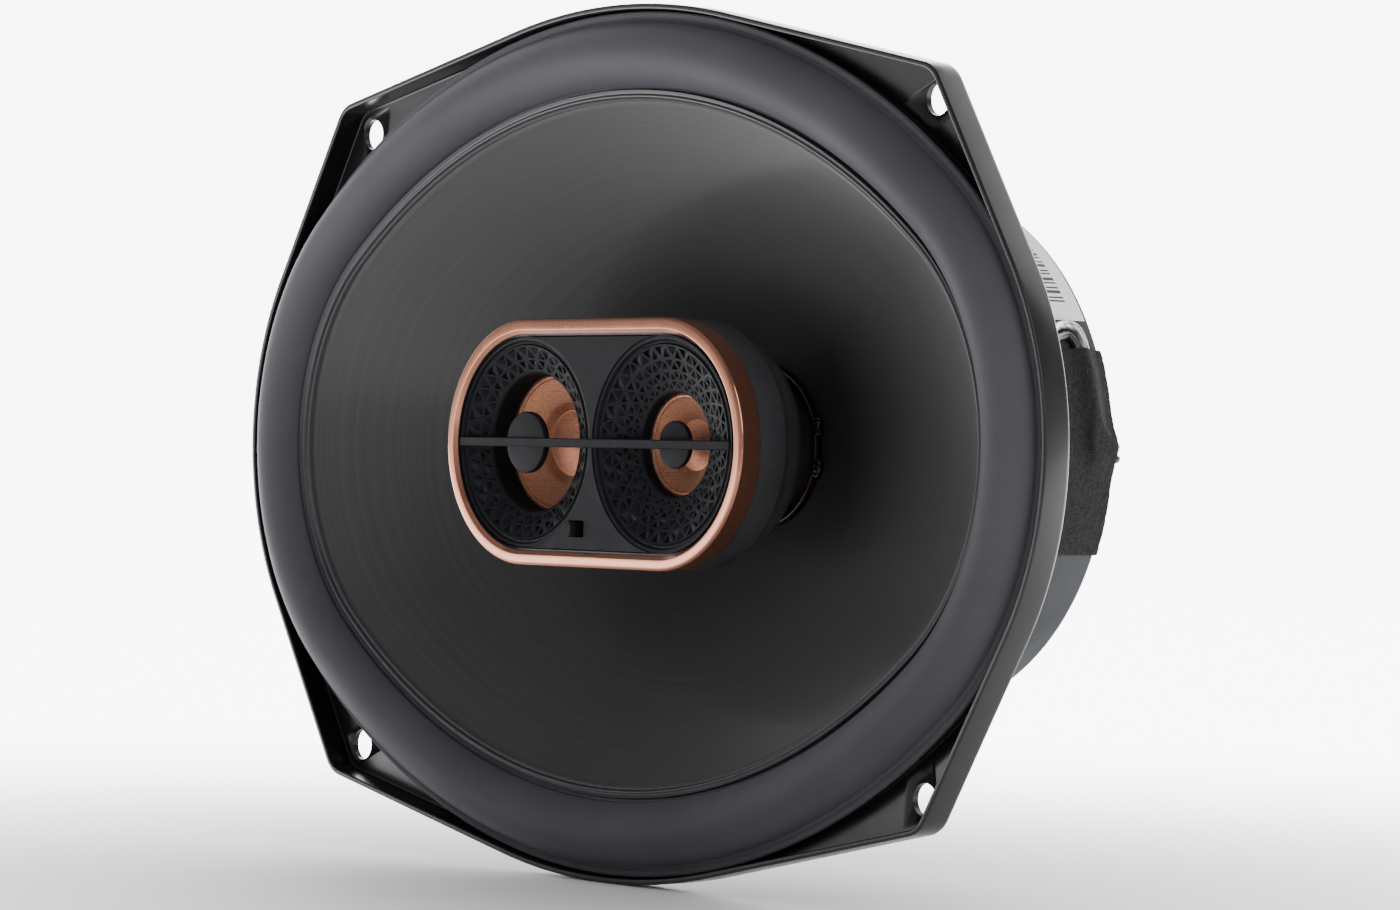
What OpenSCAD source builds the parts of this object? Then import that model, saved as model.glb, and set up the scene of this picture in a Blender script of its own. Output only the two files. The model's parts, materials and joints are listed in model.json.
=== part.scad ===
// Oval 6 x 9 inch three-way coaxial car speaker.
// The modules are drawn lying on the magnet, with z pointing out of the cone, and upright()
// turns them so that the front faces -Y, the long axis is X and +Z is up.
// The origin is the middle of the four mounting holes, on the rear face of the flange.

/* [Flange] */
// Half of the overall width
half_w = 115.8; // [100:0.1:130]
// Half of the overall height
half_h = 81.8; // [72:0.1:92]
// Radius of the two narrow ends of the oval
end_r = 63; // [55:0.5:70]
// Distance between mounting holes along the width
hole_dx = 165; // [150:0.5:180]
// Distance between mounting holes along the height
hole_dy = 122; // [112:0.5:132]
// Diameter of a mounting hole
hole_d = 6; // [4:0.1:7]
// Radius of an ear's corner, round its hole
ear_r = 6.2; // [5.5:0.1:9]
// Height of the rim over the rear face
rim_h = 6.3; // [5:0.1:9]
// Sheet thickness of the basket
sheet = 1.2; // [0.8:0.1:1.6]

/* [Cone and suspension] */
// Distance from the oval's edge to the outer foot of the surround's roll
roll_inset = 3.3; // [2.8:0.1:5]
// Outer radius of the half roll
roll_r = 6; // [4.5:0.1:7]
// Thickness of the rubber
rubber_t = 0.8; // [0.5:0.1:1.2]
// Depth from the surround's feet to the cone's neck
cone_depth = 38; // [32:0.5:46]
// Inner radius of the voice coil's former
coil_r = 15; // [13:0.5:18]

/* [Motor] */
// Depth of the top plate's front face behind the flange
motor_depth = 50; // [46:0.5:60]
// Radius of the ring magnet
magnet_r = 51; // [44:0.5:60]
// Thickness of the ring magnet
magnet_t = 18.5; // [14:0.5:25]
// Radius of the top plate
plate_r = 48; // [42:0.5:56]
// Radius of the back plate
back_plate_r = 43.5; // [38:0.5:56]
// Thickness of the top and back plates
plate_t = 6; // [4:0.5:8]

/* [Tweeter pod] */
// Half of the pod's width
pod_w = 43.5; // [41:0.1:54]
// Half of the pod's height
pod_h = 23.3; // [22.5:0.1:28]
// Height of the pod's front over the flange's rear face
pod_front = 11.2; // [10:0.1:16]
// Radius of the midrange opening
mid_r = 13.1; // [12.5:0.1:14]
// Radius of the tweeter opening
tweeter_r = 9.6; // [9:0.1:11]
// Radius of the pod's post
post_r = 11; // [9.5:0.1:12]

/* [Hidden] */
$fn = 96;

// Oval made of four tangent arcs: two ends on the x axis and two long sides.
end_cx = half_w - end_r;
narrow = half_h - end_r;
side_cy = (end_cx * end_cx - narrow * narrow) / (2 * narrow);
side_r = half_h + side_cy;
join_a = atan2(side_cy, end_cx);
oval_sides = 96;

// Flange
hole_x = hole_dx / 2;
hole_y = hole_dy / 2;
rim_t = 1.1;
landing_z = 4.1;
landing_in = 2.4;
wall_in = 5.6;
hem_in = 14;
hem_z = -3.5;
hem_w = 3.2;

// Surround and cone
foot_z = landing_z + rubber_t;
flange_in = rim_t + 0.3;
roll_mid_in = roll_inset + roll_r;
roll_foot_in = roll_inset + 2 * roll_r;
glue_w = 2.7;
cone_in = roll_foot_in + glue_w;
paper_t = 0.9;
former_t = 0.3;
former_r = coil_r + former_t;
neck_r = former_r + 0.05;
neck_z = foot_z - cone_depth;
neck_l = 3;
former_front = 1.4;
winding_r = coil_r + 1;
winding_l = 10;

// Bottom of the basket and the motor, counted down from the flange
ledge_z = neck_z - 7;
ledge_r = 47;
can_r = 37.2;
spider_r = 41;
plate_z = -motor_depth;
magnet_z = plate_z - plate_t;
back_z = magnet_z - magnet_t;
rear_z = back_z - plate_t;
gap = 0.5;
plate_bore_r = winding_r + gap;
can_bore_r = plate_bore_r + 3;
pole_r = coil_r - gap;
pole_top_z = plate_z + 1;
pole_bore_r = 5;
magnet_bore_r = 26;
former_rear_z = plate_z - plate_t / 2 - winding_l / 2 - 2;
rivet_count = 6;
rivet_ring_r = 28;
rivet_r = 1.6;

// Arms of the basket: direction of the outward normal where each one starts
arm_normals = [0, 62, 90, 118, 180, 242, 270, 298];
arm_w = 19;
arm_t = 1.2 * sheet;
arm_in = hem_in + 1;
arm_top_z = hem_z - 0.2;
arm_foot_r = ledge_r - 1;
arm_foot_z = ledge_z - 0.1;
rib_h = 3.2;

// Pod
trim_l = 4.7;
trim_lip = 1.2;
pod_side_l = 7.1;
pod_wall = 1.6;
pod_back_z = pod_front - trim_l - pod_side_l;
pod_mid_z = pod_back_z - 10.5;
pod_base_z = pod_mid_z - 5.5;
face_in = 3.2;
face_z = pod_front - 0.5;
face_back_z = face_z - 5.5;
driver_x = pod_w - pod_h + 0.1;
dish_r = pod_h - face_in - 0.2;
bolt_head_t = 3;
bolt_bore_r = 2.8;
bolt_r = pole_bore_r - 0.2;
screw_x = 7.5;

// Level switch
switch_x = -3.9;
switch_y = -16;
lever_travel = 2.4;

// Wires
wire_r = 0.8;
wire_lift = magnet_r + wire_r + 0.25;
tinsel_r = 0.5;
felt_t = 1.3;
felt_half_a = 22;

// Points on an arc about c
function arc(c, r, a0, a1, n) =
    [for (i = [0:n]) let (a = a0 + (a1 - a0) * i / n) c + r * [cos(a), sin(a)]];

// One point of the oval drawn in by d, where its outward normal points at angle a
function oval_at(a, d) =
    abs(sin(a)) <= sin(join_a)
        ? [sign(cos(a)) * end_cx, 0] + (end_r - d) * [cos(a), sin(a)]
        : [0, -sign(sin(a)) * side_cy] + (side_r - d) * [cos(a), sin(a)];

// The oval, drawn in by d
function oval_points(d) = [for (k = [0:oval_sides - 1]) oval_at(360 * k / oval_sides, d)];

// The flange's outline, drawn in by d: the oval, with an ear round each mounting hole whose
// straight edges are tangent to the oval
module flange_outline(d) {
    hull() {
        polygon(oval_points(d));
        for (sx = [-1, 1], sy = [-1, 1])
            translate([sx * hole_x, sy * hole_y]) circle(r = ear_r - d, $fn = 64);
    }
}

module upright() {
    rotate([90, 0, 0]) children();
}

module tube(r_out, r_in, z0, z1) {
    translate([0, 0, z0]) difference() {
        cylinder(h = z1 - z0, r = r_out);
        translate([0, 0, -1]) cylinder(h = z1 - z0 + 2, r = r_in);
    }
}

// A flat band of the oval between two insets
module oval_band(d_out, d_in, z0, z1) {
    translate([0, 0, z0]) linear_extrude(z1 - z0) difference() {
        polygon(oval_points(d_out));
        polygon(oval_points(d_in));
    }
}

// Sweeps a closed profile round the oval. Its points are (distance in from the oval, height),
// in clockwise order with the distance drawn to the right.
module oval_ring(profile) {
    m = len(profile);
    polyhedron(
        points = [for (p = profile, k = [0:oval_sides - 1])
            let (q = oval_at(360 * k / oval_sides, p[0])) [q[0], q[1], p[1]]],
        faces = ring_faces(m, oval_sides));
}

// Triangles of a closed ring of m loops, each of n points
function ring_faces(m, n) = [for (i = [0:m - 1], k = [0:n - 1])
    let (j = (i + 1) % m, q = (k + 1) % n)
    each [[i * n + k, j * n + q, j * n + k], [i * n + k, i * n + q, j * n + q]]];

// A swept tube along points, with flat ends
function unit(v) = v / norm(v);
function tangent(p, i) = unit(p[min(i + 1, len(p) - 1)] - p[max(i - 1, 0)]);
function ring_at(p, i, r, sides) =
    let (t = tangent(p, i),
         u = unit(cross(t, abs(t[2]) < 0.85 ? [0, 0, 1] : [0, 1, 0])),
         v = cross(t, u))
    [for (k = [0:sides - 1]) p[i] + r * (cos(360 * k / sides) * u + sin(360 * k / sides) * v)];

module swept_tube(p, r, sides = 8) {
    n = len(p);
    polyhedron(
        points = [for (i = [0:n - 1]) each ring_at(p, i, r, sides)],
        faces = concat(
            [[for (k = [0:sides - 1]) k]],
            [for (i = [0:n - 2], k = [0:sides - 1])
                [i * sides + k, (i + 1) * sides + k, (i + 1) * sides + (k + 1) % sides]],
            [for (i = [0:n - 2], k = [0:sides - 1])
                [i * sides + k, (i + 1) * sides + (k + 1) % sides, i * sides + (k + 1) % sides]],
            [[for (k = [sides - 1:-1:0]) (n - 1) * sides + k]]));
}

// A smooth curve through points: Catmull-Rom, with steps pieces between each pair
function spline(p, steps) = concat(
    [for (i = [0:len(p) - 2], j = [0:steps - 1])
        let (a = p[max(i - 1, 0)], b = p[i], c = p[i + 1], d = p[min(i + 2, len(p) - 1)], t = j / steps)
        0.5 * (2 * b + (c - a) * t + (2 * a - 5 * b + 4 * c - d) * t * t
            + (3 * b - a - 3 * c + d) * t * t * t)],
    [p[len(p) - 1]]);

// ---- Basket ----

// A sloping strip from the hem down to the ledge, with a rib turned back along each edge
module basket_arm(normal_a) {
    start = oval_at(normal_a, arm_in);
    top_r = norm(start);
    rotate(atan2(start[1], start[0])) {
        translate([0, arm_w / 2, 0]) rotate([90, 0, 0]) linear_extrude(arm_w)
            polygon([[top_r, arm_top_z], [arm_foot_r, arm_foot_z], [arm_foot_r, arm_foot_z - arm_t],
                [top_r, arm_top_z - arm_t]]);
        for (s = [-1, 1])
            translate([0, s * (arm_w - sheet) / 2 + sheet / 2, 0]) rotate([90, 0, 0])
                linear_extrude(sheet)
                    polygon([[top_r - 1, arm_top_z - arm_t / 2],
                        [arm_foot_r + 0.5, arm_foot_z - arm_t / 2],
                        [arm_foot_r + 0.5, ledge_z - rib_h], [top_r - 6, arm_top_z - rib_h - 2]]);
    }
}

module basket() {
    lap = sheet / 2;
    color([0.09, 0.09, 0.1]) upright() difference() {
        union() {
            // Rear face of the flange, with the ears
            linear_extrude(sheet) difference() {
                flange_outline(0);
                polygon(oval_points(landing_in + lap));
            }
            // Rim
            translate([0, 0, lap]) linear_extrude(rim_h - lap) difference() {
                flange_outline(0);
                flange_outline(rim_t);
            }
            // Step up to the landing that the surround is glued to, the wall behind it and its hem
            oval_band(landing_in, landing_in + sheet, lap, landing_z);
            oval_band(landing_in, wall_in + sheet, landing_z - sheet, landing_z);
            oval_band(wall_in, wall_in + sheet, hem_z, landing_z);
            oval_band(wall_in, hem_in + hem_w, hem_z - sheet, hem_z);
            for (a = arm_normals) basket_arm(a);
            // Ledge for the spider, and the can that stands on the top plate
            rotate_extrude() polygon([[ledge_r, ledge_z], [can_r - sheet, ledge_z],
                [can_r - sheet, plate_z + sheet], [can_bore_r, plate_z + sheet],
                [can_bore_r, plate_z], [can_r, plate_z], [can_r, ledge_z - sheet],
                [ledge_r, ledge_z - sheet]]);
        }
        for (sx = [-1, 1], sy = [-1, 1])
            translate([sx * hole_x, sy * hole_y, -1]) cylinder(h = sheet + 2, d = hole_d);
        rivet_holes(plate_z + sheet + 1, plate_z - 1);
        on_terminal_arm() translate([0, 0, -2 * sheet]) cylinder(h = 4 * sheet, r = rivet_r, $fn = 32);
    }
}

module rivet_holes(z1, z0) {
    for (i = [0:rivet_count - 1])
        rotate((i + 0.5) * 360 / rivet_count) translate([rivet_ring_r, 0, z0])
            cylinder(h = z1 - z0, r = rivet_r, $fn = 32);
}

// ---- Cone and suspension ----

module surround() {
    bottom = foot_z - rubber_t;
    steps = 8;
    foot_a = asin(rubber_t / roll_r);
    color([0.22, 0.22, 0.25]) upright() oval_ring(concat(
        [[flange_in, bottom], [flange_in, foot_z]],
        [for (i = [0:steps]) let (a = 180 - foot_a - (180 - 2 * foot_a) * i / steps)
            [roll_mid_in + roll_r * cos(a), bottom + roll_r * sin(a)]],
        [[cone_in, foot_z], [cone_in, bottom]],
        [for (i = [0:steps]) let (a = 180 * i / steps)
            [roll_mid_in + (roll_r - rubber_t) * cos(a), bottom + (roll_r - rubber_t) * sin(a)]]));
}

module cone_edge_ring() {
    start = roll_foot_in + 0.4;
    color([0.3, 0.3, 0.32]) upright() oval_ring([[start, foot_z], [start + 0.3, foot_z + 0.9],
        [start + 1.2, foot_z + 1], [start + 1.8, foot_z + 0.2], [start + 1.8, foot_z]]);
}

// The cone's section: f runs from 0 at the oval edge to 1 at the round neck
cone_rows = 9;
cone_edge_z = foot_z - rubber_t;
function cone_point(a, f) =
    let (edge = oval_at(a, cone_in), neck = neck_r * [cos(a), sin(a)],
         xy = edge + (neck - edge) * f)
    [xy[0], xy[1], cone_edge_z - (cone_edge_z - neck_z) * (0.86 * f + 0.14 * f * f)];

module cone() {
    rim = [for (k = [0:oval_sides - 1])
        let (p = oval_at(360 * k / oval_sides, roll_foot_in)) [p[0], p[1], cone_edge_z]];
    front = concat(rim, [for (i = [0:cone_rows], k = [0:oval_sides - 1])
        cone_point(360 * k / oval_sides, i / cone_rows)]);
    m = cone_rows + 2;
    // The neck turns down along the former as a short collar
    collar = [for (k = [0:oval_sides - 1]) let (a = 360 * k / oval_sides)
        [neck_r * cos(a), neck_r * sin(a), neck_z - neck_l]];
    collar_out = [for (k = [0:oval_sides - 1]) let (a = 360 * k / oval_sides, r = neck_r + paper_t)
        [r * cos(a), r * sin(a), neck_z - neck_l]];
    back = [for (i = [m - 1:-1:0], k = [0:oval_sides - 1])
        let (p = front[i * oval_sides + k],
             q = i == m - 1 ? (neck_r + paper_t) / neck_r : 1)
        [p[0] * q, p[1] * q, p[2] - paper_t]];
    color([0.12, 0.12, 0.13]) upright() polyhedron(
        points = concat(front, collar, collar_out, back),
        faces = ring_faces(2 * m + 2, oval_sides));
}

module voice_coil_former() {
    color([0.6, 0.42, 0.28]) upright()
        tube(former_r, coil_r, former_rear_z, neck_z + former_front);
}

module voice_coil_winding() {
    mid_z = plate_z - plate_t / 2;
    color([0.72, 0.4, 0.2]) upright()
        tube(winding_r, former_r, mid_z - winding_l / 2, mid_z + winding_l / 2);
}

module neck_glue() {
    color([0.05, 0.05, 0.05]) upright() for (a = [-14, 14])
        rotate(a - 2.5) rotate_extrude(angle = 5)
            polygon([[former_r, neck_z + former_front], [former_r, neck_z + 0.6],
                [former_r + 2.4, neck_z + 3.2], [former_r + 1.6, neck_z + 3.6]]);
}

// Corrugated disc from the former to the basket's ledge
spider_z = ledge_z + 2.2;
spider_waves = 5;
spider_t = 0.5;
module spider() {
    r0 = former_r + 1.2;
    r1 = ledge_r - 8;
    steps = spider_waves * 8;
    wave = [for (i = [0:steps]) let (f = i / steps)
        [r0 + (r1 - r0) * f, spider_z + 1.3 * sin(360 * spider_waves * f)]];
    color([0.75, 0.62, 0.35]) upright() rotate_extrude() polygon(concat(
        [[former_r, spider_z - 1.4]], [[former_r, spider_z + spider_t]],
        [for (p = wave) [p[0], p[1] + spider_t]],
        [[r1 + 0.8, ledge_z + spider_t], [spider_r, ledge_z + spider_t], [spider_r, ledge_z],
            [r1 + 0.2, ledge_z]],
        [for (i = [steps:-1:0]) wave[i]],
        [[former_r + spider_t, spider_z - 1.4]]));
}

// Height of the cone's back at the distance x from the axis, towards +x
function cone_back_z(x) =
    let (edge_x = half_w - cone_in) cone_point(0, (edge_x - x) / (edge_x - neck_r))[2] - paper_t;

// Flexible leads from just behind the cone to the terminal board
module tinsel_lead(side) {
    start_x = former_r + 8;
    start_z = cone_back_z(start_x) - 2.4 * tinsel_r;
    arm_x = terminal_x - 9;
    arm_z = arm_height(arm_x);
    color([0.75, 0.5, 0.3]) upright() swept_tube(spline([
        [start_x, side * 5, start_z],
        [start_x + 3, side * 5.5, start_z - 1.8],
        [start_x + 8, side * 6, start_z - 3.2],
        [start_x + 13, side * 6, start_z - 1.4],
        [arm_x - 2, side * 6, arm_z + 4.5],
        [arm_x, side * 6, arm_z + 0.7]], 6), tinsel_r);
}

// ---- Motor ----

module top_plate() {
    color([0.45, 0.45, 0.42]) upright() difference() {
        tube(plate_r, plate_bore_r, magnet_z, plate_z);
        rivet_holes(plate_z + 1, magnet_z - 1);
    }
}

module magnet() {
    color([0.36, 0.37, 0.39]) upright() difference() {
        tube(magnet_r, magnet_bore_r, back_z, magnet_z);
        rivet_holes(magnet_z + 1, magnet_z - 2);
    }
}

module pole_yoke() {
    color([0.45, 0.45, 0.42]) upright() {
        tube(back_plate_r, pole_bore_r, rear_z, back_z);
        tube(pole_r, pole_bore_r, rear_z, pole_top_z);
    }
}

module basket_rivets() {
    color([0.6, 0.6, 0.6]) upright() for (i = [0:rivet_count - 1])
        rotate((i + 0.5) * 360 / rivet_count) translate([rivet_ring_r, 0, 0]) {
            translate([0, 0, magnet_z]) cylinder(h = plate_t + sheet, r = rivet_r, $fn = 32);
            translate([0, 0, plate_z + sheet]) cylinder(h = 1, r1 = 2.8, r2 = 2, $fn = 32);
        }
}

// ---- Post and pod ----

module pod_post() {
    color([0.1, 0.1, 0.1]) upright() difference() {
        translate([0, 0, pole_top_z]) cylinder(h = pod_base_z - pole_top_z, r = post_r);
        translate([0, 0, pole_top_z - 1]) cylinder(h = 13, r = bolt_r);
        translate([0, 0, pole_top_z - 1]) cylinder(h = pod_base_z - pole_top_z + 2, r = bolt_bore_r + 0.6);
        for (s = [-1, 1]) translate([s * screw_x, 0, pod_base_z - 9])
            cylinder(h = 10, r = 1.2, $fn = 32);
    }
}

module post_bolt() {
    color([0.55, 0.55, 0.55]) upright() difference() {
        union() {
            translate([0, 0, rear_z - bolt_head_t]) cylinder(h = bolt_head_t, r = 8.5, $fn = 6);
            translate([0, 0, rear_z]) cylinder(h = pole_top_z + 12 - rear_z, r = bolt_r);
        }
        translate([0, 0, rear_z - bolt_head_t - 1])
            cylinder(h = pole_top_z + 15 - rear_z + bolt_head_t, r = bolt_bore_r);
    }
}

module post_screws() {
    color([0.6, 0.6, 0.6]) upright() for (s = [-1, 1]) translate([s * screw_x, 0, 0]) {
        translate([0, 0, pod_base_z - 9]) cylinder(h = 9 + pod_wall, r = 1.2, $fn = 32);
        translate([0, 0, pod_base_z + pod_wall]) cylinder(h = 1.2, r = 2.2, $fn = 32);
    }
}

// A slot shape with round ends, the pod's outline drawn in by d
module pod_outline(d = 0, w = pod_w, h = pod_h) {
    translate([h - w, 0]) circle(r = h - d);
    translate([w - h, 0]) circle(r = h - d);
    square([2 * (w - h), 2 * (h - d)], center = true);
}

module pod_slab(d, z0, z1, w = pod_w, h = pod_h) {
    translate([0, 0, z0]) linear_extrude(z1 - z0) pod_outline(d, w, h);
}

module pod_taper(d) {
    thin = 0.01;
    hull() {
        pod_slab(d, pod_back_z - thin, pod_back_z, $fn = 48);
        pod_slab(d, pod_mid_z, pod_mid_z + thin, pod_w - 12.7, pod_h - 8, $fn = 48);
    }
    hull() {
        pod_slab(d, pod_mid_z, pod_mid_z + thin, pod_w - 12.7, pod_h - 8, $fn = 48);
        translate([0, 0, pod_base_z]) cylinder(h = thin, r = post_r + 0.5 - d, $fn = 48);
    }
}

module pod_housing() {
    inside = pod_wall + 0.3;
    spigot = 1.7;
    color([0.09, 0.09, 0.11]) upright() difference() {
        union() {
            pod_slab(0.3, pod_back_z, pod_front - trim_l);
            pod_slab(spigot, pod_front - trim_l - 0.1, pod_front - trim_lip - 0.1);
            pod_taper(0.3);
        }
        pod_slab(face_in, pod_back_z, pod_front + 1);
        intersection() {
            pod_taper(inside);
            translate([0, 0, pod_base_z + pod_wall]) cylinder(h = 40, r = pod_w + 5, $fn = 32);
        }
        translate([0, 0, pod_base_z - 1]) cylinder(h = 5, r = bolt_bore_r + 0.6);
        for (s = [-1, 1]) translate([s * screw_x, 0, pod_base_z - 1])
            cylinder(h = 4, r = 1.2, $fn = 32);
    }
}

module pod_trim_ring() {
    step = 0.35;
    color([0.76, 0.5, 0.4]) upright() difference() {
        union() {
            pod_slab(0, pod_front - trim_l, pod_front - 2 * step);
            pod_slab(step, pod_front - 2 * step, pod_front - step);
            pod_slab(2 * step, pod_front - step, pod_front);
        }
        pod_slab(1.6, pod_front - trim_l - 1, pod_front - trim_lip);
        pod_slab(face_in - 0.3, pod_front - trim_l - 1, pod_front + 1);
    }
}

// Shallow dish round a driver's opening, with a ring groove at its edge
module dish(opening_r, rim_z) {
    rotate_extrude() polygon([[0, face_back_z - 9], [opening_r, face_back_z - 9], [opening_r, rim_z],
        [dish_r - 1.6, face_z - 0.5], [dish_r - 1.4, face_z - 0.8], [dish_r - 0.8, face_z - 0.8],
        [dish_r - 0.6, face_z - 0.3], [dish_r, face_z - 0.3], [dish_r, face_z + 1], [0, face_z + 1]]);
}

mid_rim_z = face_z - 3.2;
mid_seat_z = 3;
tweeter_rim_z = face_z - 3.6;
tweeter_seat_z = face_back_z;
bar_t = 1.7;
bar_z = face_z + 0.2;

module pod_face() {
    color([0.19, 0.19, 0.21]) upright() difference() {
        union() {
            pod_slab(face_in, face_back_z, face_z);
            translate([-driver_x, 0, 0]) tube(mid_r + 1.9, mid_r, mid_seat_z, face_back_z + 0.1);
        }
        translate([-driver_x, 0, 0]) dish(mid_r, mid_rim_z);
        translate([driver_x, 0, 0]) dish(tweeter_r, tweeter_rim_z);
        // Recess of the level switch, and the slot for its lever
        translate([switch_x, switch_y, face_z]) cube([6.4, 4.4, 1.2], center = true);
        translate([switch_x, switch_y, face_z]) cube([lever_travel + 2.4, 3.2, 20], center = true);
        // Seat of the bar
        translate([0, 0, bar_z]) cube([2 * driver_x + 2 * dish_r - 1, bar_t, 5.2], center = true);
    }
}

// Thin bar across both dishes, with a flat phase plug in front of each driver
module phase_bar() {
    color([0.17, 0.17, 0.19]) upright() {
        translate([0, 0, bar_z - 1.3])
            cube([2 * driver_x + 2 * dish_r - 1, bar_t, 2.6], center = true);
        translate([-driver_x, 0, face_z - 1.9]) cylinder(h = 1.3, r = 5.8);
        translate([driver_x, 0, tweeter_rim_z - 0.6]) cylinder(h = 1, r = 4.4);
        translate([driver_x - 1.5, -bar_t / 2, tweeter_rim_z]) cube([3, bar_t, 2.6]);
    }
}

// ---- Midrange driver ----

module at_mid() {
    upright() translate([-driver_x, 0, 0]) children();
}

mid_coil_r = 5.9;
mid_yoke_r = 8.8;
mid_frame_r = 15.6;
mid_floor_z = mid_seat_z - 6;

module mid_frame() {
    color([0.15, 0.15, 0.16]) at_mid() {
        tube(mid_frame_r, mid_r - 0.2, mid_seat_z - 1.4, mid_seat_z - 0.4);
        tube(mid_frame_r, mid_frame_r - 1, mid_floor_z, mid_seat_z - 0.4);
        tube(mid_frame_r, mid_yoke_r, mid_floor_z - 1, mid_floor_z);
    }
}

module mid_surround() {
    z = mid_seat_z;
    color([0.6, 0.36, 0.24]) at_mid() rotate_extrude() polygon([[mid_r - 1.1, z - 0.4],
        [mid_r - 0.9, z], [mid_r - 0.5, z + 0.25], [mid_r - 0.1, z], [mid_frame_r, z],
        [mid_frame_r, z - 0.4], [mid_r - 0.1, z - 0.4], [mid_r - 0.5, z - 0.15],
        [mid_r - 0.9, z - 0.4]]);
}

module mid_cone() {
    z = mid_seat_z - 0.4;
    deep = 3.8;
    color([0.66, 0.4, 0.26]) at_mid() rotate_extrude() polygon([
        [mid_r - 1.1, z], [mid_coil_r + 2.2, z - 2.5], [mid_coil_r + 0.4, z - deep],
        [mid_coil_r - 2, z - deep + 0.5], [0, z - deep + 0.9], [0, z - deep + 0.6],
        [mid_coil_r - 2, z - deep + 0.2], [mid_coil_r - 0.1, z - deep - 0.5],
        [mid_coil_r + 0.4, z - deep - 0.5], [mid_coil_r + 2.4, z - 2.9], [mid_r - 1.1, z - 0.4]]);
}

module mid_voice_coil() {
    color([0.72, 0.4, 0.2]) at_mid()
        tube(mid_coil_r + 0.4, mid_coil_r, mid_floor_z - 3, mid_seat_z - 4.7);
}

module mid_pole_disc() {
    color([0.5, 0.5, 0.5]) at_mid()
        translate([0, 0, mid_floor_z - 1.6]) cylinder(h = 1.2, r = mid_coil_r - 0.4);
}

module mid_magnet() {
    color([0.7, 0.7, 0.72]) at_mid()
        translate([0, 0, mid_floor_z - 5.2]) cylinder(h = 3.6, r = mid_coil_r - 0.8);
}

module mid_yoke() {
    color([0.5, 0.5, 0.5]) at_mid() {
        tube(mid_yoke_r, mid_coil_r + 0.8, mid_floor_z - 5.2, mid_floor_z);
        translate([0, 0, mid_floor_z - 6.5]) cylinder(h = 1.3, r = mid_yoke_r);
    }
}

// ---- Tweeter ----

module at_tweeter() {
    upright() translate([driver_x, 0, 0]) children();
}

tweeter_coil_r = 4.4;
tweeter_yoke_r = 7.2;
tweeter_frame_r = 12;
tweeter_floor_z = tweeter_seat_z - 5.2;

module tweeter_frame() {
    z = tweeter_seat_z;
    color([0.15, 0.15, 0.16]) at_tweeter() {
        tube(tweeter_frame_r, tweeter_r - 0.1, z - 1.4, z - 0.4);
        tube(tweeter_frame_r, tweeter_frame_r - 1, tweeter_floor_z, z - 0.4);
        tube(tweeter_frame_r, tweeter_yoke_r, tweeter_floor_z - 1, tweeter_floor_z);
    }
}

module tweeter_surround() {
    z = tweeter_seat_z;
    color([0.6, 0.36, 0.24]) at_tweeter() rotate_extrude() polygon([[tweeter_r - 1, z - 0.4],
        [tweeter_r - 0.8, z - 0.1], [tweeter_r - 0.4, z + 0.1], [tweeter_r, z],
        [tweeter_frame_r, z], [tweeter_frame_r, z - 0.4], [tweeter_r - 0.1, z - 0.4],
        [tweeter_r - 0.4, z - 0.25], [tweeter_r - 0.8, z - 0.4]]);
}

module tweeter_cone() {
    z = tweeter_seat_z - 0.4;
    deep = 2.6;
    r = tweeter_coil_r;
    color([0.66, 0.4, 0.26]) at_tweeter() rotate_extrude() polygon([[tweeter_r - 1, z], [r + 1.8, z - 1.5],
        [r + 0.3, z - deep], [r - 1.5, z - deep + 0.4], [0, z - deep + 0.8], [0, z - deep + 0.5],
        [r - 1.5, z - deep + 0.1], [r - 0.1, z - deep - 0.4], [r + 0.3, z - deep - 0.4],
        [r + 2, z - 1.8], [tweeter_r - 1, z - 0.35]]);
}

module tweeter_voice_coil() {
    color([0.72, 0.4, 0.2]) at_tweeter()
        tube(tweeter_coil_r + 0.3, tweeter_coil_r, tweeter_floor_z - 2, tweeter_seat_z - 3.4);
}

module tweeter_pole_disc() {
    color([0.5, 0.5, 0.5]) at_tweeter() translate([0, 0, tweeter_floor_z - 1])
        cylinder(h = 1, r = tweeter_coil_r - 0.35);
}

module tweeter_magnet() {
    color([0.7, 0.7, 0.72]) at_tweeter() translate([0, 0, tweeter_floor_z - 3.6])
        cylinder(h = 2.6, r = tweeter_coil_r - 0.6);
}

module tweeter_yoke() {
    color([0.5, 0.5, 0.5]) at_tweeter() {
        tube(tweeter_yoke_r, tweeter_coil_r + 0.65, tweeter_floor_z - 3.6, tweeter_floor_z);
        translate([0, 0, tweeter_floor_z - 4.8]) cylinder(h = 1.2, r = tweeter_yoke_r);
    }
}

// ---- Level switch and crossover ----

module switch_body() {
    color([0.05, 0.05, 0.05]) upright() difference() {
        translate([switch_x, switch_y, face_back_z - 2.6]) cube([8, 5.6, 5.2], center = true);
        translate([switch_x, switch_y, face_back_z]) cube([lever_travel + 2.6, 3.4, 4.4], center = true);
    }
}

module switch_lever() {
    color([0.16, 0.16, 0.18]) upright() translate([switch_x - lever_travel / 2, switch_y, 0]) {
        translate([0, 0, (face_z + face_back_z) / 2 - 0.6])
            cube([1.8, 2.8, face_z - face_back_z + 1.2], center = true);
        translate([0, 0, face_z + 0.2]) cube([1.8, 2.8, 1.6], center = true);
    }
}

board_z = pod_mid_z - 1.4;
module crossover_board() {
    color([0.1, 0.28, 0.16]) upright() translate([-11, -8, board_z]) cube([24, 16, 1.2]);
}

module crossover_capacitors() {
    color([0.15, 0.2, 0.35]) upright() for (x = [-5.6, 1.6])
        translate([x, -6.5, board_z + 1.2 + 3.1]) rotate([-90, 0, 0]) cylinder(h = 13, r = 3.1, $fn = 48);
}

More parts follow.
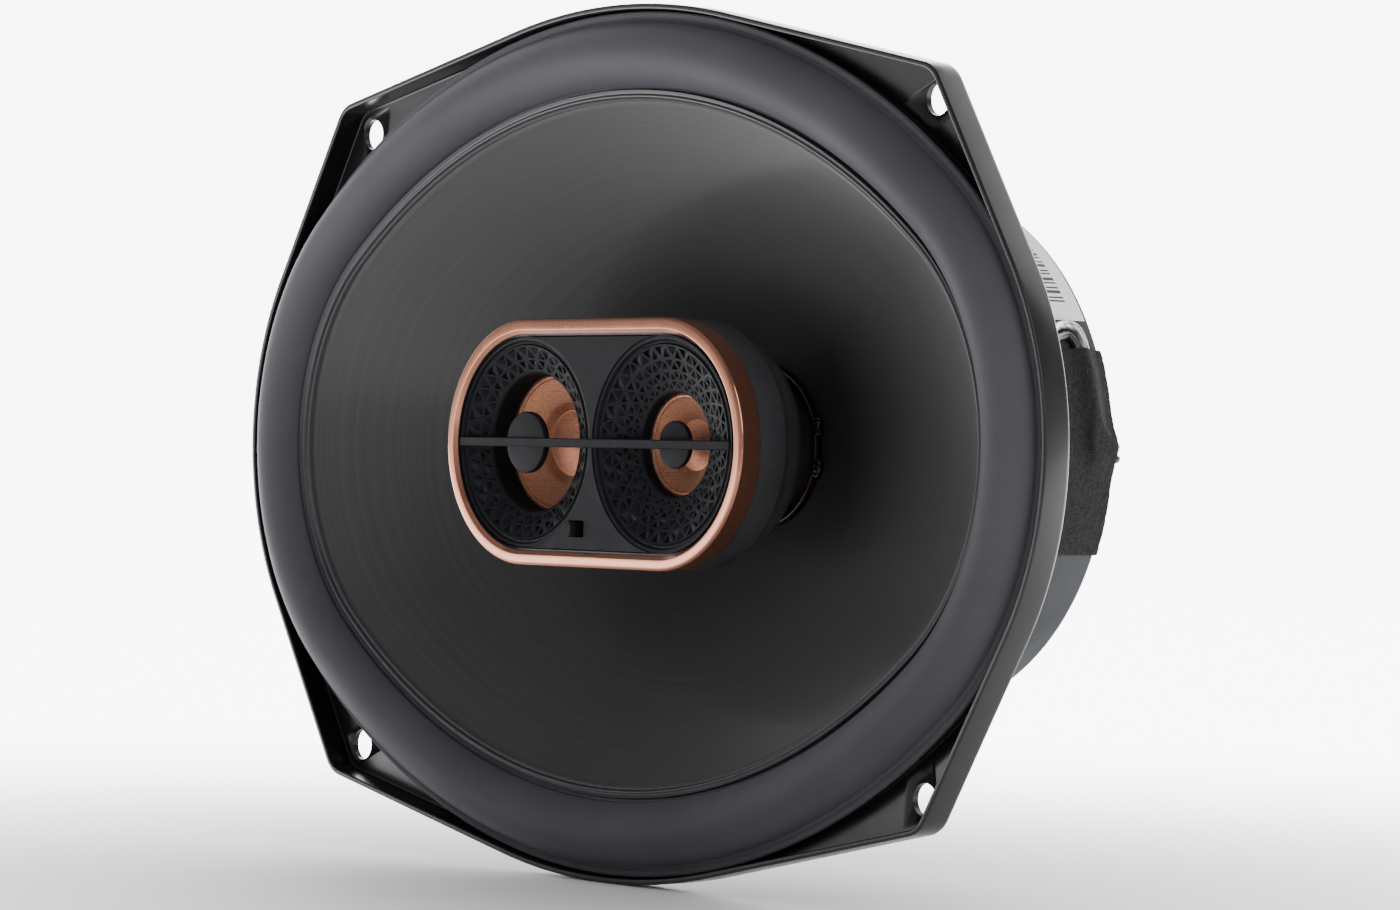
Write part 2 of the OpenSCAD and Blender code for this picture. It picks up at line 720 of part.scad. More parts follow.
module crossover_inductor() {
    color([0.7, 0.4, 0.2]) upright() translate([8.6, 3, board_z + 1.2]) difference() {
        cylinder(h = 4, r = 3.4, $fn = 48);
        translate([0, 0, -1]) cylinder(h = 6, r = 1.2, $fn = 48);
    }
}

// ---- Terminals ----

terminal_x = 74;
// Height of the arm's front face at the distance x from the axis, on the arm that points to +x
arm_top_r = half_w - arm_in;
arm_slope = atan2(arm_top_z - arm_foot_z, arm_top_r - arm_foot_r);
function arm_height(x) = arm_foot_z + (x - arm_foot_r) * tan(arm_slope);

module on_terminal_arm() {
    translate([terminal_x, 0, arm_height(terminal_x)]) rotate([0, -arm_slope, 0]) children();
}

arm_back = arm_t * cos(arm_slope);
board_t = 1.6;

module terminal_board() {
    color([0.35, 0.22, 0.12]) upright() on_terminal_arm() difference() {
        translate([0, 0, -arm_back - board_t / 2])
            cube([12, arm_w - 2 * sheet - 0.6, board_t], center = true);
        translate([0, 0, -10]) cylinder(h = 20, r = rivet_r, $fn = 32);
    }
}

module terminal_rivet() {
    color([0.6, 0.6, 0.6]) upright() on_terminal_arm() {
        translate([0, 0, -arm_back - board_t]) cylinder(h = arm_back + board_t, r = rivet_r, $fn = 32);
        cylinder(h = 0.8, r = 2.6, $fn = 32);
        translate([0, 0, -arm_back - board_t - 0.8]) cylinder(h = 0.8, r = 2.6, $fn = 32);
    }
}

module terminal_tab(width, side) {
    tab_t = 0.8;
    color([0.8, 0.78, 0.7]) upright() on_terminal_arm()
        translate([0, side * 5.2, -arm_back - board_t]) {
            translate([-width / 2, -2, -tab_t]) cube([width, 4, tab_t]);
            translate([-width / 2, side * 2 - tab_t / 2, -9]) cube([width, tab_t, 9]);
        }
}

module terminal_tab_positive() {
    terminal_tab(6.3, 1);
}

module terminal_tab_negative() {
    terminal_tab(4.8, -1);
}

// ---- Wires, felt and label ----

// A point on the magnet's side, lifted clear of it, at height y and depth z
function on_magnet(y, z) = [sqrt(wire_lift * wire_lift - y * y), y, z];

// Both wires leave the terminals, loop over the front edge of the magnet, dive under the felt,
// turn to the rear and enter the hollow bolt
module jumper_wire(shift, side) {
    under_felt_z = back_z + 4.6 + shift;
    back_run_z = rear_z - wire_r - 0.1;
    lane = side * 1.1;
    head_z = back_run_z - bolt_head_t;
    swept_tube(spline([
        [terminal_x - 7, side * 4, arm_height(terminal_x - 7) - 5],
        [terminal_x - 11, 9 + side * 2, arm_height(terminal_x - 11) - 9],
        [57, 18 + side, magnet_z + 3],
        [50.5, 21.4 + side, magnet_z - 3],
        on_magnet(23 + side, back_z + 9),
        on_magnet(22.6 + side, under_felt_z + 0.8),
        on_magnet(20 + side * 0.5, under_felt_z),
        on_magnet(15, under_felt_z),
        on_magnet(8, under_felt_z),
        on_magnet(2.5 + side, under_felt_z - 0.4),
        on_magnet(0.4 + side, under_felt_z - 2.6),
        [wire_lift, lane, back_z + 0.6],
        [magnet_r + 0.9, lane, back_z - 0.6],
        [magnet_r - 0.2, lane, back_z - 1.15],
        [back_plate_r + 3.4, lane, back_z - 1.3],
        [back_plate_r + 1.5, lane, back_z - 2.6],
        [back_plate_r + 1.1, lane, rear_z + 0.6],
        [back_plate_r + 0.3, lane, back_run_z - 0.2],
        [back_plate_r - 3, lane, back_run_z - 0.1],
        [back_plate_r - 9, lane, back_run_z],
        [26, lane, back_run_z],
        [14, lane, back_run_z - 0.3],
        [9.5, lane, head_z],
        [5, lane, head_z - 0.9],
        [1.8, lane, head_z + 0.6],
        [0, lane, rear_z + 6],
        [0, lane, rear_z + 20],
        [0, lane, -30],
        [0, lane, board_z - 0.2]], 3), wire_r);
}

module jumper_wire_positive() {
    color([0.8, 0.78, 0.72]) upright() jumper_wire(-0.1, 1);
}

module jumper_wire_negative() {
    color([0.06, 0.06, 0.06]) upright() jumper_wire(2.1, -1);
}

// Part of a tube about the axis, between two angles
module sector(r_in, r_out, a0, a1, z0, z1) {
    translate([0, 0, z0]) linear_extrude(z1 - z0)
        polygon(concat(arc([0, 0], r_out, a0, a1, 16), arc([0, 0], r_in, a1, a0, 16)));
}

module felt_strip() {
    run_top = back_z + 8.2;
    run_bottom = back_z + 3.2;
    lift = 0.06;
    tunnel_r = wire_lift + wire_r + 0.2;
    cover_r = tunnel_r + felt_t;
    color([0.06, 0.06, 0.06]) upright() difference() {
        union() {
            sector(magnet_r + lift, magnet_r + felt_t, -felt_half_a, felt_half_a,
                back_z + 0.2, magnet_z - 1);
            sector(magnet_r + 0.4, cover_r, -5.6, felt_half_a - 0.2, run_bottom - 1.2, run_top + 1.2);
            sector(magnet_r + 0.6, cover_r - 0.1, -5.4, 5.4, back_z + 0.3, run_top);
        }
        sector(magnet_r - 1, tunnel_r, -4.2, felt_half_a + 1, run_bottom, run_top);
        sector(magnet_r - 1.5, tunnel_r - 0.05, -4.1, 4.1, back_z - 1, run_top - 1);
    }
}

module paper_label() {
    color([0.93, 0.93, 0.93]) upright()
        sector(magnet_r + 0.03, magnet_r + 0.18, 29.3, 63, back_z + 1.2, magnet_z - 1);
}

basket();
surround();
cone_edge_ring();
cone();
voice_coil_former();
voice_coil_winding();
neck_glue();
spider();
tinsel_lead(1);  // tinsel_lead_positive
tinsel_lead(-1);  // tinsel_lead_negative
top_plate();
magnet();
pole_yoke();
basket_rivets();
pod_post();
post_bolt();
post_screws();
pod_housing();
pod_trim_ring();
pod_face();
phase_bar();
mid_frame();
mid_surround();
mid_cone();
mid_voice_coil();
mid_pole_disc();
mid_magnet();
mid_yoke();
tweeter_frame();
tweeter_surround();
tweeter_cone();
tweeter_voice_coil();
tweeter_pole_disc();
tweeter_magnet();
tweeter_yoke();
switch_body();
switch_lever();
crossover_board();
crossover_capacitors();
crossover_inductor();
terminal_board();
terminal_tab_positive();
terminal_tab_negative();
terminal_rivet();
jumper_wire_positive();
jumper_wire_negative();
felt_strip();
paper_label();
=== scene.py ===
"""Looks of the oval three-way car speaker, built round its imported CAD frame.

Lengths are in millimetres until place() or build() turns them into the frame's metres. Points of the
speaker are (x, up, out): x to the right as seen from the front, and out along the cone's axis towards
the listener, counted from the rear face of the flange.
"""

import json
import math
import random

import bmesh
import bpy
from mathutils import Matrix, Vector


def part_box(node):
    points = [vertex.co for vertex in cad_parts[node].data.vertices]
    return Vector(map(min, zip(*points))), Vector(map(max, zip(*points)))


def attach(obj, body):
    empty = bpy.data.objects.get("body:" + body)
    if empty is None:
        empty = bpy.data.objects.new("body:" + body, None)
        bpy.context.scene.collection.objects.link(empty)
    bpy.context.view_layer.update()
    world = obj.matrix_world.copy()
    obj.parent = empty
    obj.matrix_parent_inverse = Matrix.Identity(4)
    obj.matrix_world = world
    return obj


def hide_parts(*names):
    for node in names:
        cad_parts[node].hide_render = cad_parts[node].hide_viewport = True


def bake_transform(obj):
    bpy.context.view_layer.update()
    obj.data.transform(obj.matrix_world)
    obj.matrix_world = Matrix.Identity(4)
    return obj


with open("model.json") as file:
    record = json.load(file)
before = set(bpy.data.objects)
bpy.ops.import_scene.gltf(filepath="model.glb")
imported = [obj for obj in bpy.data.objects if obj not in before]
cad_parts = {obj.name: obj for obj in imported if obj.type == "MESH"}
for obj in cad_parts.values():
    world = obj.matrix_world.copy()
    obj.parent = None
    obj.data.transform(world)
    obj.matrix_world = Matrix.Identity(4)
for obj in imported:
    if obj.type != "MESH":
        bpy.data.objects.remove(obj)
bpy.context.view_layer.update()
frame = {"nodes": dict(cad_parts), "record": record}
NODES = frame["nodes"]
MM = 0.001


def span(node):
    """Half width, half height, and the rear and front ends along the axis, of a CAD node."""
    low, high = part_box(node)
    return high.x / MM, high.z / MM, -high.y / MM, -low.y / MM


# ---- Sizes read from the frame ----

HALF_W, HALF_H, _, RIM_TOP = span("basket")
MAGNET_R, _, BACK_Z, MAGNET_FRONT = span("magnet")
PLATE_R = span("top_plate")[0]
BACK_PLATE_R, _, REAR_Z, _ = span("pole_yoke")
PLATE_Z = span("top_plate")[3]
POD_W, POD_H, TRIM_BACK, POD_FRONT = span("pod_trim_ring")
POD_BASE_Z = span("pod_housing")[2]
NECK_LOW = span("cone")[2]
CONE_EDGE_Z = span("cone")[3]
FORMER_R, _, _, FORMER_FRONT = span("voice_coil_former")

# ---- Chosen sizes: _IN is inwards from the oval, _Z along the axis, _T a thickness ----

TWEETER_X = POD_W - POD_H + 0.1
MID_X = -TWEETER_X
END_R = 63.0
SHEET = 1.2
RIM_T = 1.1
EAR_R = 6.2
HOLE_X, HOLE_UP, HOLE_R = 82.5, 61.0, 3.0
LANDING_Z, LANDING_IN, WALL_IN = 4.1, 2.4, 5.6
HEM_IN, HEM_W, HEM_Z = 14.0, 3.2, -3.5
RUBBER_T = 0.8
FOOT_Z = LANDING_Z + RUBBER_T
ROLL_R = 6.0
ROLL_INSET = 3.3
ROLL_MID_IN = ROLL_INSET + ROLL_R
ROLL_FOOT_IN = ROLL_INSET + 2 * ROLL_R
CONE_IN = ROLL_FOOT_IN + 2.7
PAPER_T = 0.9
NECK_R = FORMER_R + 0.05
NECK_Z = NECK_LOW + 3.0
LEDGE_Z, LEDGE_R, CAN_R = NECK_Z - 7.0, 47.0, 37.2
FACE_IN = 3.2
FACE_Z = POD_FRONT - 0.5
FACE_BACK_Z = FACE_Z - 5.5
DISH_R = POD_H - FACE_IN - 0.2
MID_R, MID_RIM_Z, MID_SEAT_Z = 13.1, FACE_Z - 3.2, 3.0
TWEETER_R, TWEETER_RIM_Z, TWEETER_SEAT_Z = 9.6, FACE_Z - 3.6, FACE_BACK_Z
BAR_T = 1.7
WIRE_R = 0.8
OVAL_COUNT = 288
POD_WALL_END = TRIM_BACK - 7.1

# ---- Outlines ----

END_CX = HALF_W - END_R
NARROW = HALF_H - END_R
SIDE_CY = (END_CX**2 - NARROW**2) / (2 * NARROW)
SIDE_R = HALF_H + SIDE_CY
JOIN_A = math.atan2(SIDE_CY, END_CX)


def oval_at(angle, inset):
    """Point of the oval drawn in by inset, where its outward normal points at angle."""
    c, s = math.cos(angle), math.sin(angle)
    if abs(s) <= math.sin(JOIN_A):
        return math.copysign(END_CX, c) + (END_R - inset) * c, (END_R - inset) * s
    return (SIDE_R - inset) * c, -math.copysign(SIDE_CY, s) + (SIDE_R - inset) * s


def oval(inset, count=OVAL_COUNT):
    return [oval_at(math.tau * k / count, inset) for k in range(count)]


def circle(count):
    """The unit circle."""
    return [(math.cos(math.tau * k / count), math.sin(math.tau * k / count)) for k in range(count)]


def rectangle(x0, x1, up0, up1):
    return [(x0, up0), (x1, up0), (x1, up1), (x0, up1)]


def mirrored(points):
    """The points, and then back through their mirror images."""
    return points + [(-x, y) for x, y in reversed(points)]


def arc(cx, cy, r, a0, a1, steps):
    """Points on an arc, angles in radians."""
    turns = [a0 + (a1 - a0) * k / steps for k in range(steps + 1)]
    return [(cx + r * math.cos(a), cy + r * math.sin(a)) for a in turns]


EAR_A0 = math.atan2(HOLE_UP, HOLE_X - END_CX) - math.acos(
    (END_R - EAR_R) / math.hypot(HOLE_X - END_CX, HOLE_UP))
EAR_A1 = math.atan2(HOLE_UP + SIDE_CY, HOLE_X) + math.acos(
    (SIDE_R - EAR_R) / math.hypot(HOLE_X, HOLE_UP + SIDE_CY))
END_STEPS, STRAIGHT_STEPS, EAR_STEPS, SIDE_STEPS = 24, 8, 14, 18


def between(p, q, steps):
    """Points inside the straight line from p to q."""
    return [(p[0] + (q[0] - p[0]) * k / steps, p[1] + (q[1] - p[1]) * k / steps)
            for k in range(1, steps)]


def flange(inset):
    """The flange's outline with its ears, drawn in by inset."""
    end = arc(END_CX, 0, END_R - inset, 0, EAR_A0, END_STEPS)
    ear = arc(HOLE_X, HOLE_UP, EAR_R - inset, EAR_A0, EAR_A1, EAR_STEPS)
    side = arc(0, -SIDE_CY, SIDE_R - inset, EAR_A1, math.pi / 2, SIDE_STEPS)
    quarter = end + between(end[-1], ear[0], STRAIGHT_STEPS) + ear
    quarter += between(ear[-1], side[0], STRAIGHT_STEPS) + side
    return (quarter + [(-x, up) for x, up in quarter[-2::-1]] + [(-x, -up) for x, up in quarter[1:]]
            + [(x, -up) for x, up in quarter[-2:0:-1]])


def flange_oval(inset):
    """The plain oval, with a point for each of flange()'s, so that the two can be joined."""
    points = []
    for x, y in flange(0):
        angle = math.atan2(abs(y), abs(x) - END_CX)
        if angle > JOIN_A:
            angle = math.atan2(abs(y) + SIDE_CY, abs(x))
        px, py = oval_at(angle, inset)
        points.append((math.copysign(px, x), math.copysign(py, y)))
    return points


def slot_outline(half_w, half_h, inset=0.0, steps=40):
    """A slot shape with round ends, anticlockwise."""
    c, r, straight = half_w - half_h, half_h - inset, 6
    right = arc(c, 0, r, -math.pi / 2, math.pi / 2, steps)
    left = arc(-c, 0, r, math.pi / 2, 1.5 * math.pi, steps)
    return right + between(right[-1], left[0], straight) + left + between(left[-1], right[0], straight)


def rounded(points, radius, steps=4, closed=True):
    """The same path with its corners rounded by radius, which may be a list of one for each."""
    out = []
    n = len(points)
    for i, p in enumerate(points):
        r = radius[i] if isinstance(radius, (list, tuple)) else radius
        if r <= 0 or (not closed and i in (0, n - 1)):
            out.append(p)
            continue
        p = Vector(p)
        to_prev, to_next = Vector(points[i - 1]) - p, Vector(points[(i + 1) % n]) - p
        room = min(to_prev.length, to_next.length) * 0.48
        half = to_prev.angle(to_next) / 2
        reach = min(r / math.tan(half), room) if half > 0.02 else room
        a, b = p + to_prev.normalized() * reach, p + to_next.normalized() * reach
        for k in range(steps + 1):
            t = k / steps
            out.append(tuple((1 - t) ** 2 * a + 2 * t * (1 - t) * p + t * t * b))
    return out


# ---- Meshes ----


def place(x, up, out):
    return Vector((x, -out, up)) * MM


def reshade(mesh, sharp, weld=0.0):
    """Turns all faces outwards and shades the mesh smooth up to sharp degrees, after a weld if asked."""
    edit = bmesh.new()
    edit.from_mesh(mesh)
    if weld:
        bmesh.ops.remove_doubles(edit, verts=edit.verts, dist=weld)
    bmesh.ops.recalc_face_normals(edit, faces=edit.faces)
    edit.to_mesh(mesh)
    edit.free()
    if not weld:
        mesh.shade_smooth()
    mesh.set_sharp_from_angle(angle=math.radians(sharp))


def build(name, points, faces, look, body="frame", replaces=(), sharp=40.0, marks=None):
    """Makes one piece from points of the speaker, gives it the finish called look and lets it ride."""
    mesh = bpy.data.meshes.new(name)
    mesh.from_pydata([place(*p) for p in points], [], faces)
    mesh.validate()
    reshade(mesh, sharp)
    for key, values in (marks or {}).items():
        mesh.attributes.new(key, "FLOAT", "POINT").data.foreach_set("value", values)
    piece = bpy.data.objects.new(name, mesh)
    bpy.context.scene.collection.objects.link(piece)
    material, slot = FINISHES[look]
    mesh.materials.append(material)
    if replaces:
        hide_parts(*replaces)
    if body:
        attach(piece, body)
    return piece


def loft(loops, close_rows=True):
    """Points and faces of a skin through loops of (x, up, out), the last joined to the first or not."""
    rows, count = len(loops), len(loops[0])
    faces = []
    for i in range(rows if close_rows else rows - 1):
        j = (i + 1) % rows
        for k in range(count):
            q = (k + 1) % count
            faces.append((i * count + k, i * count + q, j * count + q, j * count + k))
    return [p for loop in loops for p in loop], faces


def capped(loops):
    """As loft, from a first to a last loop that are both filled."""
    points, faces = loft(loops, False)
    count, last = len(loops[0]), len(points) - len(loops[0])
    return points, faces + [tuple(range(count)), tuple(range(last, last + count))]


def at(outline, out):
    """A flat outline at one height along the axis."""
    return [(x, up, out) for x, up in outline]


def turned(profile, x=0.0, up=0.0, count=96):
    """A loop for each (radius, out) of a profile, turned about an axis at (x, up)."""
    return [[(x + r * c, up + r * s, out) for c, s in circle(count)] for r, out in profile]


def lathe(profile, x=0.0, up=0.0, count=96):
    """Points and faces of a closed profile turned about an axis."""
    return loft(turned(profile, x, up, count))


def oval_sweep(profile):
    """Points and faces of a closed profile of (inset, out) swept round the oval."""
    return loft([at(oval(inset), out) for inset, out in profile])


def merge(*parts):
    """Joins several (points, faces) into one."""
    points, faces = [], []
    for p, f in parts:
        base = len(points)
        points += p
        faces += [tuple(base + i for i in face) for face in f]
    return points, faces


def block(x0, x1, up0, up1, out0, out1, edge=0.2):
    """A box with rounded edges along the axis and chamfered ends, as (points, faces)."""
    big = rounded(rectangle(x0, x1, up0, up1), edge, 3)
    small = rounded(rectangle(x0 + edge, x1 - edge, up0 + edge, up1 - edge), edge, 3)
    return capped([at(small, out0), at(big, out0 + edge), at(big, out1 - edge), at(small, out1)])


def smooth_path(knots, steps):
    """A Catmull-Rom curve through knots."""
    out = []
    for i in range(len(knots) - 1):
        a, b = Vector(knots[max(i - 1, 0)]), Vector(knots[i])
        c, d = Vector(knots[i + 1]), Vector(knots[min(i + 2, len(knots) - 1)])
        for j in range(steps):
            t = j / steps
            out.append(0.5 * (2 * b + (c - a) * t + (2 * a - 5 * b + 4 * c - d) * t * t
                              + (3 * b - a - 3 * c + d) * t**3))
    return out + [Vector(knots[-1])]


def direction(path, i):
    """Which way a path of vectors runs at its point i."""
    return (path[min(i + 1, len(path) - 1)] - path[max(i - 1, 0)]).normalized()


def tube_along(path, radius, sides=14, wobble=None):
    """Points and faces of a tube along a path of vectors, with flat ends."""
    loops = []
    across = direction(path, 0).orthogonal().normalized()
    for i, p in enumerate(path):
        tangent = direction(path, i)
        across = (across - tangent * across.dot(tangent)).normalized()
        other = tangent.cross(across)
        loop = []
        for k in range(sides):
            a = math.tau * k / sides
            r = radius * (1 + (wobble(i, a) if wobble else 0))
            loop.append(tuple(p + across * r * math.cos(a) + other * r * math.sin(a)))
        loops.append(loop)
    return capped(loops)


# ---- Finishes ----


WAVE_LENGTH = 0.314  # of Blender's wave texture at a scale of 1


class Nodes:
    """Adds shader nodes to a tree, over one output of its texture coordinates."""

    def __init__(self, tree, coords):
        self.tree = tree
        self.coords = self.node("ShaderNodeTexCoord").outputs[coords]

    def node(self, kind, **settings):
        made = self.tree.nodes.new(kind)
        for key, value in settings.items():
            setattr(made, key, value)
        return made

    def link(self, source, target):
        self.tree.links.new(source, target)

    def put(self, target, value):
        if isinstance(value, bpy.types.NodeSocket):
            self.link(value, target)
        else:
            target.default_value = value

    def math(self, operation, a, b=0.0):
        made = self.node("ShaderNodeMath", operation=operation)
        self.put(made.inputs[0], a)
        self.put(made.inputs[1], b)
        return made.outputs[0]

    def spread(self, fac, low, high, start=0.3, end=0.7, smooth=False):
        """Takes fac from start..end to low..high."""
        kind = "SMOOTHSTEP" if smooth else "LINEAR"
        made = self.node("ShaderNodeMapRange", interpolation_type=kind)
        self.put(made.inputs["Value"], fac)
        for key, value in (("From Min", start), ("From Max", end), ("To Min", low), ("To Max", high)):
            made.inputs[key].default_value = value
        return made.outputs["Result"]

    def axis(self, letter):
        """One of the coordinates."""
        made = self.node("ShaderNodeSeparateXYZ")
        self.link(self.coords, made.inputs[0])
        return made.outputs[letter]

    def against(self, operation, fixed):
        """DOT_PRODUCT or DISTANCE of the coordinates and a fixed vector."""
        made = self.node("ShaderNodeVectorMath", operation=operation)
        self.link(self.coords, made.inputs[0])
        made.inputs[1].default_value = fixed
        return made.outputs["Value"]


class Finish(Nodes):
    """Builds one procedural material node by node."""

    def __init__(self, name):
        self.material = bpy.data.materials.new(name)
        self.material.use_nodes = True
        super().__init__(self.material.node_tree, "Object")
        self.shader = self.tree.nodes["Principled BSDF"]

    def squeezed(self, y, z):
        """The coordinates, with the pattern y and z times as fine along those axes."""
        made = self.node("ShaderNodeMapping")
        made.inputs["Scale"].default_value = (1, y, z)
        self.link(self.coords, made.inputs["Vector"])
        return made.outputs["Vector"]

    def noise(self, per_mm, detail=3.0, rough=0.55, vector=None):
        """Noise of about per_mm features a millimetre."""
        made = self.node("ShaderNodeTexNoise")
        self.link(vector or self.coords, made.inputs["Vector"])
        made.inputs["Scale"].default_value = per_mm / MM
        made.inputs["Detail"].default_value = detail
        made.inputs["Roughness"].default_value = rough
        return made.outputs["Fac"]

    def wave(self, bands, pitch_mm, **inputs):
        """Soft stripes, one every pitch_mm."""
        made = self.node("ShaderNodeTexWave", bands_direction=bands)
        self.link(self.coords, made.inputs["Vector"])
        made.inputs["Scale"].default_value = WAVE_LENGTH / (pitch_mm * MM)
        for key, value in inputs.items():
            made.inputs[key.replace("_", " ")].default_value = value
        return made.outputs["Fac"]

    def mix(self, fac, low, high):
        """Between two colours, of which low may come from a node."""
        made = self.node("ShaderNodeMix", data_type="RGBA")
        self.put(made.inputs["Factor"], fac)
        self.put(made.inputs["A"], low if isinstance(low, bpy.types.NodeSocket) else (*low, 1))
        self.put(made.inputs["B"], (*high, 1))
        return made.outputs["Result"]

    def colour(self, value):
        self.put(self.shader.inputs["Base Color"], value)

    def rough(self, noise, low, high):
        """Roughness from low to high over noise(*noise)."""
        self.put(self.shader.inputs["Roughness"], self.spread(self.noise(*noise), low, high))

    def relief(self, height, depth_mm, strength=1.0):
        """Adds a bump of depth_mm under the ones already there."""
        made = self.node("ShaderNodeBump")
        made.inputs["Strength"].default_value = strength
        made.inputs["Distance"].default_value = depth_mm * MM
        self.link(height, made.inputs["Height"])
        normal = self.shader.inputs["Normal"]
        if normal.links:
            self.link(normal.links[0].from_socket, made.inputs["Normal"])
        self.link(made.outputs["Normal"], normal)

    def set(self, **values):
        for key, value in values.items():
            self.shader.inputs[key.replace("_", " ")].default_value = value

    def radius(self):
        """Distance from the speaker's axis, in millimetres."""
        x, z = self.axis("X"), self.axis("Z")
        squares = self.math("ADD", self.math("MULTIPLY", x, x), self.math("MULTIPLY", z, z))
        return self.math("MULTIPLY", self.math("SQRT", squares), 1 / MM)


FINISHES = {}


def finish(slot):
    """Decorator: the function fills in the material of one of the record's slots."""
    def register(fill):
        made = Finish(slot)
        fill(made)
        FINISHES[slot] = (made.material, slot)
        return fill
    return register


def tinted(f, base, amount, per_mm=0.08, detail=4.0):
    """Base colour that varies by amount over patches and grain."""
    dark = tuple(c * (1 - amount) for c in base)
    light = tuple(min(1, c * (1 + amount)) for c in base)
    f.colour(f.mix(f.spread(f.noise(per_mm, detail), 0, 1), dark, light))


# Slot: values for tinted(), values for rough(), the relief's noise, depth and strength, shader inputs
PLAIN = {
    "black_steel": (((0.006, 0.006, 0.0065), 0.25), ((0.05, 4), 0.24, 0.36), ((1.6, 2), 0.02, 0.5),
        dict(Specular_IOR_Level=0.36, Coat_Weight=0.08, Coat_Roughness=0.12)),
    "surround_rubber": (((0.0610, 0.0600, 0.0675), 0.10, 0.03), ((0.04, 5), 0.50, 0.60),
        ((3.5, 2, 0.6), 0.025, 0.6),
        dict(Specular_IOR_Level=0.08, Sheen_Weight=0.06, Sheen_Roughness=0.45,
             Sheen_Tint=(0.75, 0.78, 1.0, 1.0))),
    "edge_ring": (((0.014, 0.014, 0.016), 0.15), ((0.1, 3), 0.34, 0.44), ((2.0, 2), 0.015, 0.5), {}),
    "black_glue": (((0.008, 0.008, 0.008), 0.3, 0.5), ((0.5, 3), 0.12, 0.26), ((0.6, 3), 0.12, 0.5),
        {}),
    "ferrite": (((0.044, 0.046, 0.052), 0.14, 0.06, 6), ((0.08, 5), 0.46, 0.60),
        ((1.1, 5, 0.65), 0.05, 0.5), dict(Specular_IOR_Level=0.2)),
    "rivet_steel": (((0.56, 0.56, 0.55), 0.12, 0.3), ((0.4, 3), 0.24, 0.4), ((1.5, 3), 0.02, 0.4),
        dict(Metallic=1.0)),
    "black_plastic": (((0.044, 0.044, 0.048), 0.2, 0.05), ((0.05, 4), 0.40, 0.50),
        ((4.0, 2), 0.015, 0.5), {}),
    "copper_trim": (((0.36, 0.155, 0.098), 0.05, 0.05), ((0.05, 4), 0.11, 0.16),
        ((0.12, 2), 0.006, 0.2), dict(Metallic=0.85)),
    "face_plastic": (((0.0085, 0.0086, 0.0108), 0.12, 0.1), ((0.3, 4), 0.44, 0.54),
        ((5.0, 2, 0.6), 0.02, 0.5), dict(Specular_IOR_Level=0.07)),
    "neodymium": (((0.66, 0.65, 0.62), 0.08, 0.2), ((0.3, 3), 0.14, 0.24), None, dict(Metallic=1.0)),
    "board_green": (((0.012, 0.09, 0.035), 0.2, 0.4), ((0.4, 3), 0.3, 0.4), ((1.0, 2), 0.03, 0.4), {}),
    "capacitor_sleeve": (((0.02, 0.035, 0.12), 0.15, 0.2), ((0.3, 3), 0.2, 0.32),
        ((0.5, 2), 0.03, 0.3), {}),
    "phenolic": (((0.16, 0.07, 0.025), 0.2, 0.6, 6), ((0.5, 4), 0.4, 0.55), ((2.0, 3), 0.03, 0.4), {}),
    "black_wire": (((0.008, 0.008, 0.009), 0.2, 0.3), ((0.5, 3), 0.24, 0.38), ((1.2, 2), 0.02, 0.4),
        {}),
    "label_paper": (((0.92, 0.92, 0.93), 0.03, 0.1), ((0.2, 3), 0.42, 0.5), ((2.0, 2), 0.01, 0.3), {}),
}
for plain_slot, (tint, roughness, bump, values) in PLAIN.items():
    @finish(plain_slot)
    def plain(f):
        tinted(f, *tint)
        f.rough(*roughness)
        if bump:
            f.relief(f.noise(*bump[0]), *bump[1:])
        f.set(**values)


@finish("cone_paper")
def cone_paper(f):
    """Fine rings that follow the cone's loops, by the share of the way from edge to neck. They are real
    relief and roughness, and their lighter streaks in the base colour are a painted sheen.
    """
    share = f.node("ShaderNodeAttribute", attribute_name="cone_share").outputs["Fac"]
    vector = f.node("ShaderNodeCombineXYZ")
    sources = ((share, 260.0), (f.axis("X"), 5.0), (f.axis("Z"), 5.0))
    for target, (source, scale) in zip(vector.inputs, sources):
        f.link(f.math("MULTIPLY", source, scale), target)
    rings_and_sheen = f.noise(MM, 3.0, 0.5, vector.outputs[0])
    # painted sheen: the base colour is lighter along the rings
    f.colour(f.mix(f.spread(rings_and_sheen, 0, 1), (0.0375, 0.0370, 0.0375), (0.0465, 0.0460, 0.0465)))
    patch = f.spread(f.noise(0.02, 3), -0.03, 0.03)
    f.put(f.shader.inputs["Roughness"], f.math("ADD", f.spread(rings_and_sheen, 0.31, 0.38), patch))
    f.relief(rings_and_sheen, 0.012, 0.5)
    f.relief(f.noise(1.2, 3), 0.006, 0.4)
    f.set(Specular_IOR_Level=0.06, Coat_Weight=0.10, Coat_Roughness=0.13, Coat_IOR=1.5)


@finish("former_film")
def former_film(f):
    """Brown film painted near-black below its front lip as shade inside the neck; the lip keeps the
    film's brown.
    """
    lip = f.spread(f.axis("Y"), 1.0, 0.0, (-FORMER_FRONT - 0.3) * MM, (-FORMER_FRONT + 0.5) * MM)
    # painted shade: near-black film colour stands in for the shade deep in the neck
    painted_shade_film = f.mix(f.spread(f.noise(0.3, 3), 0, 1), (0.010, 0.007, 0.006), (0.016, 0.010, 0.007))
    f.colour(f.mix(lip, painted_shade_film, (0.17, 0.085, 0.055)))
    f.rough((0.2, 3), 0.34, 0.46)
    f.relief(f.noise(0.8, 3), 0.02, 0.5)
    f.set(Specular_IOR_Level=0.3)


@finish("copper_wire")
def copper_wire(f):
    """Lacquered wire: fine turns across the axis."""
    tinted(f, (0.62, 0.26, 0.11), 0.15, 0.4)
    f.relief(f.wave("Y", 0.35), 0.08, 0.8)
    f.rough((0.5, 2), 0.22, 0.34)
    f.set(Metallic=1.0, Coat_Weight=0.6, Coat_Roughness=0.1)


